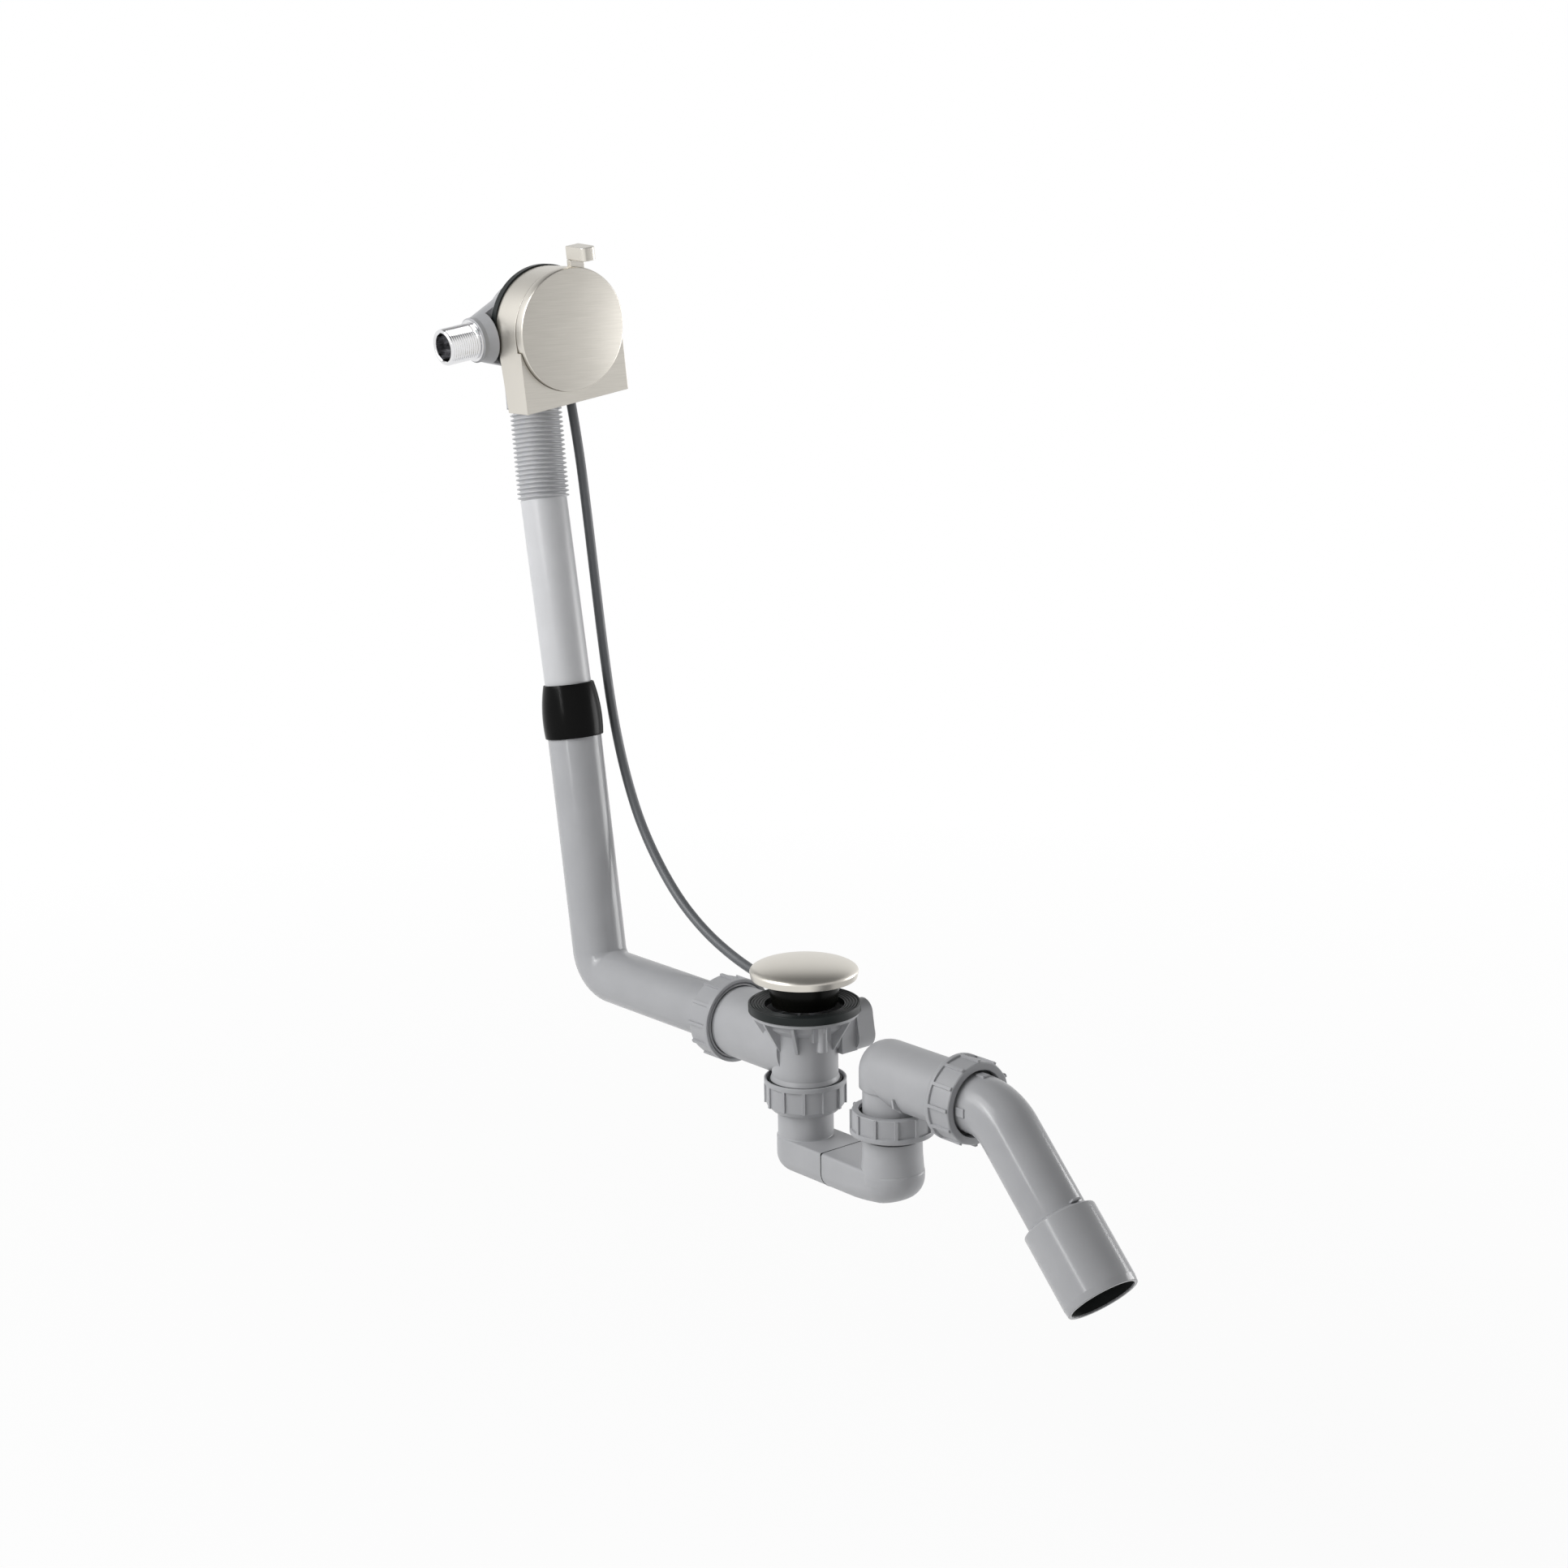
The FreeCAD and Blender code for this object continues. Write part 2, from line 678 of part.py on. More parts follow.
def make_trap_outlet():
    """The second half of the channel and the riser."""
    top = riser_nut_z + 16
    start = seam_x + seam_gap
    outside = [cylinder(riser_radius, channel_top - 1, riser_nut_z + 2, riser_x),
               cylinder(nut_radius - 3.8, riser_nut_z + 1.5, top, riser_x),
               channel_end(0, riser_x, riser_radius), channel_run(0, start, riser_x)]
    inside = [cylinder(riser_radius - wall, channel_top - wall - 1, riser_nut_z + 3, riser_x),
              cylinder(pipe_radius + slip, riser_nut_z + 2, top + 1, riser_x),
              channel_end(wall, riser_x, riser_radius), channel_run(wall, start - 1, riser_x)]
    body = top_rounded(fused(outside), start + 1, riser_x, outlet_edge)
    body = body.cut(inside[0].fuse(inside[1:]))
    lip = channel_run(wall + slip, seam_x - 6, start + 6).cut(channel_run(wall + slip + 1.8, seam_x - 7, start + 7))
    land = channel_run(wall - 0.5, start + 0.5, start + 6).cut(channel_run(wall + slip + 1.8, seam_x, start + 7))
    return body.fuse([lip, land]).removeSplitter()


def make_seam_seal():
    """Rubber cord between the two halves of the channel, seen as a thin dark line."""
    return channel_run(0.35, seam_x, seam_x + seam_gap, inlet_edge - 0.35).cut(channel_run(wall + slip, seam_x - 1, seam_x + 1))


def quarter_bend(radius, low, end):
    """Solid that rises on the riser's axis, turns to the outlet axis and runs along it."""
    bend = elbow_radius + 1.5
    start = Vector(riser_x, 0, outlet_z - bend)
    disc = Part.Face(Part.Wire(Part.makeCircle(radius, start, Vector(0, 0, 1))))
    turn = disc.revolve(start + Vector(bend, 0, 0), Vector(0, 1, 0), 90)
    shapes = [turn, along_x(radius, riser_x + bend, end, 0, outlet_z)]
    if low < start.z:
        shapes.append(cylinder(radius, low, start.z, riser_x))
    return shapes[0].fuse(shapes[1:])


def make_outlet_elbow():
    """A quarter bend from the riser's union to the horizontal outlet."""
    low = riser_nut_z + 5
    shoulder = riser_nut_z + 17.1
    end = outlet_nut_x - 15.4
    stub = cylinder(pipe_radius, low, shoulder + 1, riser_x)
    stub = stub.cut(cylinder(pipe_radius - wall, low - 1, shoulder + 2, riser_x))
    bend = quarter_bend(elbow_radius, shoulder, end).cut(quarter_bend(elbow_radius - wall, shoulder + 2, end + 1))
    bend = bend.cut(cylinder(pipe_radius - wall, shoulder - 1, shoulder + 3, riser_x))
    thread = along_x(elbow_thread_radius, end - 0.5, outlet_nut_x - 7, 0, outlet_z)
    thread = thread.cut(along_x(pipe_radius + slip, end + 0.5, outlet_nut_x, 0, outlet_z))
    thread = thread.cut(along_x(elbow_radius - wall, end - 2, end + 1, 0, outlet_z))
    rib = box((riser_x + 23, -20.6, outlet_z - 15), (riser_x + 26, -16.5, outlet_z - 8))
    rib = rib.cut(along_x(elbow_radius - 1, 0, 200, 0, outlet_z))
    return fused([bend, stub, thread, rib])


def outlet_direction():
    drop = math.radians(bend_drop)
    roll = math.radians(bend_roll)
    return Vector(math.cos(drop), -math.sin(drop) * math.sin(roll), -math.sin(drop) * math.cos(roll))


def make_outlet_bend():
    """Pipe through the last nut, a half-right bend, and the wide spigot on its end."""
    corner = Vector(bend_x, 0, outlet_z)
    direction = outlet_direction()
    start = Vector(outlet_nut_x - 14.2, 0, outlet_z)
    end = corner + direction * spigot_end
    path = rounded_path([start, corner, end], [bend_radius])
    section = Part.Wire(Part.makeCircle(pipe_radius, start, Vector(1, 0, 0)))
    pipe = path.makePipeShell([section], True, True)
    width = spigot_end - spigot_start
    sleeve = turned([(0, -2.2), (pipe_radius - 0.2, -2.2), (spigot_radius - 0.4, 0), (spigot_radius, 0.6),
                     (spigot_radius, width - 5.0), (spigot_radius - 0.6, width), (0, width)])
    sleeve = aimed(sleeve, tuple(corner + direction * spigot_start), tuple(direction))
    bore_path = rounded_path([start - Vector(1, 0, 0), corner, end + direction], [bend_radius])
    section = Part.Wire(Part.makeCircle(pipe_radius - wall, start - Vector(1, 0, 0), Vector(1, 0, 0)))
    bore = bore_path.makePipeShell([section], True, True)
    mouth = aimed(cylinder(spigot_radius - wall - 0.2, 3, width + 1),
                  tuple(corner + direction * spigot_start), tuple(direction))
    tongue = box((pipe_radius - 1, -tongue_width / 2, -2.2 - tongue_gap),
                 (tongue_top, tongue_width / 2, -2.2))
    notch = box((pipe_radius + 1.0, -tongue_width / 2, -2.2), (spigot_radius + 1, tongue_width / 2, -2.2 + tongue_gap))
    at = tuple(corner + direction * spigot_start)
    tongue = aimed(tongue, at, tuple(direction))
    notch = aimed(notch, at, tuple(direction))
    tabs = []
    for i in range(4):
        tab = box((outlet_nut_x + slip, -tab_width / 2, pipe_radius - 1.5),
                  (outlet_nut_x + tab_length, tab_width / 2, pipe_radius + tab_height))
        tab.rotate(Vector(0, 0, 0), Vector(1, 0, 0), 90 * i)
        tab.translate(Vector(0, 0, outlet_z))
        tabs.append(tab)
    whole = pipe.fuse([sleeve.cut(notch), tongue] + tabs).removeSplitter()
    return whole.cut(bore.fuse(mouth))


# Overflow pipe

def make_overflow_elbow():
    """Horizontal run into the branch, a tight bend with a sharp inner crease, then the rising pipe."""
    start = Vector(pipe_seat_x, 0, branch_z)
    end = pipe_foot + lower_axis * (sleeve_at - 4)
    centre_radius = foot_outer_radius - pipe_radius + 1.0
    path = rounded_path([start, pipe_foot, end], [centre_radius])
    return tube_along(path, pipe_radius, pipe_radius - 2.0, start, Vector(-1, 0, 0))


def make_slip_sleeve():
    """A moulded rubber sleeve that grips both pipes."""
    low_r, mid_r, high_r = sleeve_radii
    split = sleeve_below
    height = sleeve_below + sleeve_above
    bulge = arc((low_r, 0.6), (mid_r, height * 0.45), (high_r, height))
    edges = [line((pipe_radius, 0), (low_r - 0.4, 0)), line((low_r - 0.4, 0), (low_r, 0.6)), bulge,
             line((high_r, height), (upper_radius + 0.9, height)),
             line((upper_radius + 0.9, height), (upper_radius + 0.9, split - 3.6)),
             line((upper_radius + 0.9, split - 3.6), (pipe_radius, split - 3.6)),
             line((pipe_radius, split - 3.6), (pipe_radius, 0))]
    sleeve = turned_edges(edges)
    return aimed(sleeve, tuple(pipe_foot + lower_axis * (sleeve_at - sleeve_below)), tuple(lower_axis))


def make_upper_tube():
    """One moulding: the smooth pipe below and the ribbed flexible part above it."""
    low = -upper_insert
    pipe = cylinder(upper_radius, low, upper_length + 1.2)
    pipe = aimed(pipe, tuple(sleeve_middle), tuple(upper_axis))
    ridges = int(bellows_length / bellows_pitch)
    profile = [(0, 0)]
    for i in range(ridges):
        z = i * bellows_pitch
        profile.append((bellows_root, z))
        profile.append((bellows_root, z + 0.25 * bellows_pitch))
        profile.append((bellows_tip, z + 0.52 * bellows_pitch))
        profile.append((bellows_tip, z + 0.68 * bellows_pitch))
        profile.append((bellows_root, z + 0.95 * bellows_pitch))
    profile.append((bellows_root, ridges * bellows_pitch))
    profile.append((0, ridges * bellows_pitch))
    bellows = aimed(turned(profile), tuple(bellows_foot), tuple(bellows_axis))
    bore = aimed(cylinder(upper_radius - 1.8, low - 1, upper_length + 2), tuple(sleeve_middle), tuple(upper_axis))
    neck = aimed(cylinder(bellows_root - 1.6, -2, bellows_length + 5), tuple(bellows_foot), tuple(bellows_axis))
    return pipe.fuse(bellows).cut(bore.fuse(neck))


# Overflow head, all in the head's frame with X out of the face

def arch_face(x, radius, foot):
    """The cover's outline: a half round on two straight sides."""
    left = Vector(x, -radius, 0)
    right = Vector(x, radius, 0)
    edges = [Part.Arc(left, Vector(x, 0, radius), right).toShape(),
             Part.makeLine(right, Vector(x, radius, -foot)),
             Part.makeLine(Vector(x, radius, -foot), Vector(x, -radius, -foot)),
             Part.makeLine(Vector(x, -radius, -foot), left)]
    return Part.Face(Part.Wire(edges))


def behind_face(depth):
    """Everything in front of a plane that lies a depth behind the tilted face."""
    block = box((-depth, -90, -90), (60, 90, 90))
    block.rotate(Vector(0, 0, 0), Vector(0, 1, 0), face_tilt)
    return block


def make_cover():
    """Arch-shaped shell: thick lower panel, cut back behind the turning disc, open at the back."""
    front = 8.0
    outer = arch_face(cover_back, cover_radius, cover_foot).extrude(Vector(front - cover_back, 0, 0))
    outer = outer.cut(behind_face(panel_back))
    pocket = disc_x(disc_radius + slip, -disc_thickness - slip, 40)
    pocket.rotate(Vector(0, 0, 0), Vector(0, 1, 0), face_tilt)
    above = box((-disc_thickness - slip, -60, panel_top), (40, 60, 60))
    above.rotate(Vector(0, 0, 0), Vector(0, 1, 0), face_tilt)
    outer = outer.cut(pocket.fuse(above))
    hollow = arch_face(cover_back - 1, cover_radius - cover_wall, cover_foot - cover_wall)
    hollow = hollow.extrude(Vector(front - cover_back, 0, 0))
    hollow = hollow.cut(behind_face(disc_thickness + slip + cover_wall))
    slot = box((cover_back + 5, -26, -cover_foot - 1), (-14, 26, -cover_foot + cover_wall + 1))
    axle = disc_x(knob_shaft_radius + slip, -far, far)
    axle.rotate(Vector(0, 0, 0), Vector(0, 1, 0), face_tilt)
    return in_head(outer.cut(hollow.fuse([slot, axle])))


def make_turn_disc():
    """The round front: a thick disc with a softened edge, a boss behind and a lug for the lever."""
    edge = 0.8
    disc = turned([(0, 0), (disc_radius - edge, 0), (disc_radius, -edge), (disc_radius, -disc_thickness),
                   (disc_radius - 2.5, -disc_thickness), (disc_radius - 2.5, -disc_thickness + 4.5),
                   (9, -disc_thickness + 4.5), (9, -disc_thickness), (0, -disc_thickness)])
    disc.rotate(Vector(0, 0, 0), Vector(0, 1, 0), 90)
    stem_low = -disc_thickness + 0.8
    lug = box((stem_low, lever_offset - lever_width / 2, disc_radius - 6),
              (stem_low + lever_stem_depth, lever_offset + lever_width / 2, lever_top - lever_grip_height - slip))
    socket = disc_x(knob_shaft_radius - 0.6, -disc_thickness - 1, -disc_thickness + 6)
    return in_face(disc.fuse(lug).removeSplitter().cut(socket))


def make_lever_grip():
    """The finger grip: a short bar standing forward over the disc, with a rounded front end."""
    stem_low = -disc_thickness + 0.8
    low = lever_top - lever_grip_height
    left = lever_offset - lever_width / 2
    right = lever_offset + lever_width / 2
    nose = stem_low + lever_grip_length
    corner = 4.0
    k = corner * (1 - math.sqrt(0.5))
    a = [Vector(stem_low, left, low), Vector(nose - corner, left, low), Vector(nose - k, left + k, low),
         Vector(nose, left + corner, low), Vector(nose, right - corner, low), Vector(nose - k, right - k, low),
         Vector(nose - corner, right, low), Vector(stem_low, right, low)]
    edges = [Part.makeLine(a[0], a[1]), Part.Arc(a[1], a[2], a[3]).toShape(), Part.makeLine(a[3], a[4]),
             Part.Arc(a[4], a[5], a[6]).toShape(), Part.makeLine(a[6], a[7]), Part.makeLine(a[7], a[0])]
    grip = Part.Face(Part.Wire(edges)).extrude(Vector(0, 0, lever_grip_height))
    return in_face(grip)


def make_knob_shaft():
    shaft = disc_x(knob_shaft_radius, -56, -disc_thickness)
    tenon = disc_x(knob_shaft_radius - 0.6, -disc_thickness, -disc_thickness + 5.6)
    return in_face(shaft.fuse(tenon))


def make_knob_pulley():
    """Grooved wheel on the knob shaft that the cable's wire is hooked to."""
    front = pulley_back + pulley_width
    low = pulley_back + (pulley_width - pulley_groove) / 2
    wheel = disc_x(pulley_radius, pulley_back, front)
    groove = disc_x(pulley_radius + 1, low, low + pulley_groove)
    groove = groove.cut(disc_x(pulley_radius - 2.4, pulley_back, front))
    return in_face(wheel.cut(groove).cut(disc_x(knob_shaft_radius, -far, far)))


def make_clamp_plate():
    """Round plate in front of the bath wall, with water slots and the shaft's bearing."""
    plate = disc_x(cover_radius - cover_wall - slip, cover_back + slip, cover_back + slip + plate_depth)
    bearing = disc_x(8.5, cover_back + slip, cover_back + slip + 9)
    plate = plate.fuse(bearing)
    cuts = []
    for side in (-1, 1):
        middle = side * plate_slot_side
        cuts.append(box((-far, middle - plate_slot / 2, plate_slot_low),
                        (far, middle + plate_slot / 2, plate_slot_low + plate_slot)))
        cuts.append(disc_x(2.8, -far, far, side * screw_side, screw_level))
    axle = disc_x(knob_shaft_radius + running, -far, far)
    axle.rotate(Vector(0, 0, 0), Vector(0, 1, 0), face_tilt)
    return in_head(plate.cut(axle.fuse(cuts)))


def make_clamp_screws():
    """Two pan-head screws that draw the plate to the housing."""
    screws = []
    for side in (-1, 1):
        front = cover_back + slip + plate_depth
        middle = side * screw_side
        shank = disc_x(2.5, front - screw_length, front + 0.1, middle, screw_level)
        head = disc_x(4.6, front, front + 3, middle, screw_level)
        slot = box((front + 1.6, middle - 5, screw_level - 0.6), (front + 4, middle + 5, screw_level + 0.6))
        screws.append(in_head(shank.fuse(head).cut(slot)))
    return Part.makeCompound(screws)


def make_rear_gasket():
    front = cover_back - slip
    gasket = disc_x(rear_gasket_radius, front - rear_gasket_depth, front)
    return in_head(gasket.cut(disc_x(rear_gasket_radius - 9, front - rear_gasket_depth - 1, front + 1)))


def make_overflow_housing():
    """Chamber behind the bath wall with flange, inlet funnel, screw posts and the pipe stub."""
    front = cover_back - slip - rear_gasket_depth
    back = front - housing_depth
    rim = housing_flange - 3
    nozzle = (nipple_depth, -collar_at, nipple_level)
    outward = Vector(0, -1, 0)
    flange = disc_x(housing_flange, front - housing_flange_depth, front)
    drum = Part.makeCone(housing_back_radius, rim, housing_depth - 1, Vector(back, 0, 0), Vector(1, 0, 0))
    funnel = Part.makeCone(funnel_radius, collar_radius, collar_at - 30, Vector(nipple_depth, -30, nipple_level), outward)
    funnel = funnel.cut(box((front - housing_flange_depth, -rear_gasket_radius - slip, -far), (far, 0, far)))
    collar = Part.makeCylinder(collar_radius, 3.4, Vector(*nozzle), outward)
    chamber = Part.makeCone(housing_back_radius - wall, rim - wall - 3, housing_depth - wall + 1,
                            Vector(back + wall, 0, 0), Vector(1, 0, 0))
    inlet = Part.makeCylinder(nipple_bore - 2.4, 30, Vector(nipple_depth - 4, -26, nipple_level), outward)
    seat = Part.makeCylinder(nipple_seat + 0.02, 20, Vector(nipple_depth, -nipple_mouth + nipple_length, nipple_level), outward)
    at = bellows_foot + bellows_axis * (bellows_length - stub_insert)
    stub_radius = bellows_tip + slip + 1.6
    stub = cylinder(stub_radius, 0, stub_length).fuse(Part.makeSphere(stub_radius, Vector(0, 0, stub_length)))
    way = cylinder(bellows_root - 2, 0, stub_length).fuse(Part.makeSphere(bellows_root - 2, Vector(0, 0, stub_length)))
    way = way.fuse(cylinder(bellows_tip + slip, -1, stub_insert + 1))
    stub = aimed(stub, tuple(at), tuple(bellows_axis))
    way = aimed(way, tuple(at), tuple(bellows_axis))
    stub = stub.cut(in_head(disc_x(rear_gasket_radius + slip, front, far)))
    top = Vector(*cable_route[0])
    up = top - Vector(*cable_route[1])
    socket = aimed(cylinder(ferrule_radius + socket_wall, 12, 42), tuple(top), tuple(up.normalize()))
    drill = aimed(cylinder(ferrule_radius + 0.02, 0, upper_ferrule_length + 1), tuple(top), tuple(up))
    body = fused([in_head(fused([flange, drum, funnel, collar])), stub, socket])
    body = body.cut(in_head(chamber.fuse([inlet, seat])).fuse([way, drill]))
    posts = []
    for side in (-1, 1):
        post = disc_x(5.2, back + 1, front - 0.5, side * screw_side, screw_level)
        posts.append(in_head(post.cut(disc_x(2.5, back + 5, front + 1, side * screw_side, screw_level))))
    return body.fuse(posts).removeSplitter()


def make_inlet_nipple():
    """Chromed threaded nipple that the water supply screws onto."""
    tip = nipple_mouth
    seat = nipple_mouth - collar_at - 4.8
    body = turned([(nipple_bore, 0), (nipple_seat, 0), (nipple_seat, nipple_length - seat),
                   (nipple_radius, nipple_length - seat), (nipple_radius, nipple_length - 1.2),
                   (nipple_radius - 1.2, nipple_length), (nipple_bore + 0.8, nipple_length), (nipple_bore, nipple_length - 0.8)])
    body.rotate(Vector(0, 0, 0), Vector(1, 0, 0), 90)
    body.translate(Vector(nipple_depth, -tip + nipple_length, nipple_level))
    return in_head(body)


def make_nipple_ring():
    """Bright lock ring where the nipple enters the collar."""
    band = ring(nipple_radius + 1.9, nipple_seat + 0.05, 0, 1.2)
    band.rotate(Vector(0, 0, 0), Vector(1, 0, 0), 90)
    band.translate(Vector(nipple_depth, -collar_at - 3.4, nipple_level))
    return in_head(band)


# Cable

def cable_path():
    points = [Vector(*p) for p in cable_route]
    radii = []
    for i in range(1, len(points) - 1):
        before = points[i] - points[i - 1]
        after = points[i + 1] - points[i]
        half_turn = before.getAngle(after) / 2
        radii.append(0.45 * min(before.Length, after.Length) / math.tan(half_turn))
    print("cable radii", [round(r, 1) for r in radii])
    return rounded_path(points, radii), points


def make_cable():
    path, points = cable_path()
    direction = points[1] - points[0]
    section = Part.Wire(Part.makeCircle(cable_radius, points[0], direction))
    sheath = path.makePipeShell([section], True, False)
    expected = math.pi * cable_radius ** 2 * path.Length
    print("cable length", round(path.Length, 1), "volume ratio", round(sheath.Volume / expected, 4))
    return sheath


def make_ferrule(place, towards, length):
    """Metal end of the cable's sheath; it sits in the socket that carries the cable."""
    a = Vector(*place)
    direction = (a - Vector(*towards)).normalize()
    body = cylinder(ferrule_radius, -0.0, length)
    return aimed(body, tuple(a), tuple(direction), (0.2, 0.9, 0.1) if abs(direction.y) < 0.9 else (1, 0, 0))


def union_pieces():
    """The four nuts and their dark clamping washers, each on its own pipe."""
    pieces = {}
    neck_thread = neck_radius + 1.2
    bore = neck_thread + 1.2
    nut = make_nut(nut_radius, nut_length, (bore, pipe_radius + slip), 14, 4.4, nut_turns[0])
    washer = make_washer(bore, neck_thread + slip, -washer_depth, -1.2)
    pieces["trap_inlet_nut"] = aimed(nut, (0, 0, inlet_nut_z), (0, 0, 1))
    pieces["trap_inlet_washer"] = aimed(washer, (0, 0, inlet_nut_z), (0, 0, 1))
    bore = nut_radius - 3.4
    nut = make_nut(nut_radius, nut_length, (bore, elbow_radius + elbow_gap), 17, 1.0, nut_turns[1])
    washer = make_washer(bore - 0.1, pipe_radius + slip, 0, 0.4)
    pieces["trap_outlet_nut"] = aimed(nut, (riser_x, 0, riser_nut_z), (0, 0, -1))
    pieces["trap_outlet_washer"] = aimed(washer, (riser_x, 0, riser_nut_z + 16.05), (0, 0, 1))
    bore = elbow_thread_radius + 0.4
    nut = make_nut(outlet_nut_radius, nut_length, (bore, pipe_radius + outlet_gap), 16, 0.8, nut_turns[2])
    washer = make_washer(bore - 0.05, pipe_radius + slip, 0, 1.6)
    pieces["outlet_nut"] = aimed(nut, (outlet_nut_x - nut_length, 0, outlet_z), (-1, 0, 0))
    pieces["outlet_washer"] = aimed(washer, (outlet_nut_x - nut_length + 13.9, 0, outlet_z), (1, 0, 0))
    branch_thread = branch_radius - thread_step
    bore = branch_radius + 0.9
    nut = make_nut(overflow_nut_radius, overflow_nut_length, (bore, pipe_radius + slip), 19, 5.0, nut_turns[3])
    washer = make_washer(bore, branch_thread + slip, -washer_depth, -1.2)
    pieces["overflow_nut"] = aimed(nut, (overflow_nut_x, 0, branch_z), (1, 0, 0))
    pieces["overflow_washer"] = aimed(washer, (overflow_nut_x, 0, branch_z), (1, 0, 0))
    return pieces


def all_pieces():
    pieces = {
        "flange_gasket": make_flange_gasket(),
        "waste_body": make_waste_body(),
        "spindle_guide": make_spindle_guide(),
        "plug_cap": make_plug_cap(),
        "plug_carrier": make_plug_carrier(),
        "plug_seal": make_plug_seal(),
        "plug_spindle": make_plug_spindle(),
        "lift_shaft": make_lift_shaft(),
        "shaft_seal": make_shaft_seal(),
        "cable_crank": make_cable_crank(),
        "mechanism_cover": make_mechanism_cover(),
        "trap_inlet": make_trap_inlet(),
        "trap_outlet": make_trap_outlet(),
        "trap_seam_seal": make_seam_seal(),
        "outlet_elbow": make_outlet_elbow(),
        "outlet_bend": make_outlet_bend(),
        "overflow_elbow": make_overflow_elbow(),
        "slip_sleeve": make_slip_sleeve(),
        "upper_tube": make_upper_tube(),
        "cover": make_cover(),
        "turn_disc": make_turn_disc(),
        "lever_grip": make_lever_grip(),
        "knob_shaft": make_knob_shaft(),
        "knob_pulley": make_knob_pulley(),
        "clamp_plate": make_clamp_plate(),
        "clamp_screws": make_clamp_screws(),
        "rear_gasket": make_rear_gasket(),
        "overflow_housing": make_overflow_housing(),
        "inlet_nipple": make_inlet_nipple(),
        "nipple_ring": make_nipple_ring(),
        "cable_sheath": make_cable(),
        "upper_ferrule": make_ferrule(cable_route[0], cable_route[1], upper_ferrule_length),
        "lower_ferrule": make_ferrule(cable_route[-1], cable_route[-2], lower_ferrule_length),
    }
    pieces.update(union_pieces())
    return pieces


turn_axis = face_frame.Rotation.multVec(Vector(1, 0, 0))
print("knob axis", [round(v, 6) for v in turn_axis], "head", head_place)
print("mouth", [round(v, 2) for v in Vector(bend_x, 0, outlet_z) + outlet_direction() * spigot_end],
      [round(v, 6) for v in outlet_direction()])
print("nipple", [round(v, 3) for v in head_frame.multVec(Vector(nipple_depth, -nipple_mouth, nipple_level))],
      [round(v, 6) for v in head_frame.Rotation.multVec(Vector(0, -1, 0))])
gasket_face = head_frame.multVec(Vector(cover_back - slip, 0, 0))
print("gasket face", [round(v, 3) for v in gasket_face], [round(v, 6) for v in head_frame.Rotation.multVec(Vector(1, 0, 0))])
os.makedirs("parts", exist_ok=True)
for name, shape in all_pieces().items():
    print(name, len(shape.Solids), "valid" if shape.isValid() else "NOT VALID", round(shape.Volume / 1000, 2))
    shape.exportStep("parts/" + name + ".step")
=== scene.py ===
import bpy
import bmesh
import json
import math
from mathutils import Matrix, Vector


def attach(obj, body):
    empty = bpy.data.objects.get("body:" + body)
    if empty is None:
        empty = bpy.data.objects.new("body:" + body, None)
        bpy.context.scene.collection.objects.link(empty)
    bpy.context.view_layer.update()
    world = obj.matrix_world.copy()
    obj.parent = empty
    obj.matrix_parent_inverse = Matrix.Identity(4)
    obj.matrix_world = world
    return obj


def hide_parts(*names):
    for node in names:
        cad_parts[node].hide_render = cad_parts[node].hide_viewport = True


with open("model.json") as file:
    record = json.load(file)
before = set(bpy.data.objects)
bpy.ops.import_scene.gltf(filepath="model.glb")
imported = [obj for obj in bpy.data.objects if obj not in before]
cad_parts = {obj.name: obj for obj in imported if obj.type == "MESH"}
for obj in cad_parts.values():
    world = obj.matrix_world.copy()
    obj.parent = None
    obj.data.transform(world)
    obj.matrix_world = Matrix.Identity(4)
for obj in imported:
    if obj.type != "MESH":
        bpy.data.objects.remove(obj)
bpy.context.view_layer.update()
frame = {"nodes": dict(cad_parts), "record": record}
nodes = frame["nodes"]
mm = 0.001
print("frame loaded,", len(nodes), "nodes")


# Shader maths

class Sock:
    def __init__(self, tree, socket):
        self.tree = tree
        self.socket = socket

    def maths(self, operation, other=None, swap=False):
        node = self.tree.nodes.new("ShaderNodeMath")
        node.operation = operation
        pair = [self, other]
        if swap:
            pair.reverse()
        for i, item in enumerate(pair):
            if isinstance(item, Sock):
                self.tree.links.new(item.socket, node.inputs[i])
            elif item is not None:
                node.inputs[i].default_value = item
        return Sock(self.tree, node.outputs[0])

    def __add__(self, other):
        return self.maths("ADD", other)

    def __sub__(self, other):
        return self.maths("SUBTRACT", other)

    def __rsub__(self, other):
        return self.maths("SUBTRACT", other, True)

    def __mul__(self, other):
        return self.maths("MULTIPLY", other)

    def clamped(self):
        low = self.maths("MAXIMUM", 0.0)
        return low.maths("MINIMUM", 1.0)


class Nodes:
    def __init__(self, tree):
        self.tree = tree

    def add(self, kind, settings=None, values=None, out=0):
        node = self.tree.nodes.new(kind)
        for key, value in (settings or {}).items():
            setattr(node, key, value)
        for key, value in (values or {}).items():
            if isinstance(value, Sock):
                self.tree.links.new(value.socket, node.inputs[key])
            else:
                node.inputs[key].default_value = value
        self.last = node
        return Sock(self.tree, node.outputs[out]) if node.outputs else None

    def another(self, name):
        # one more output of the node that was added last
        return Sock(self.tree, self.last.outputs[name])


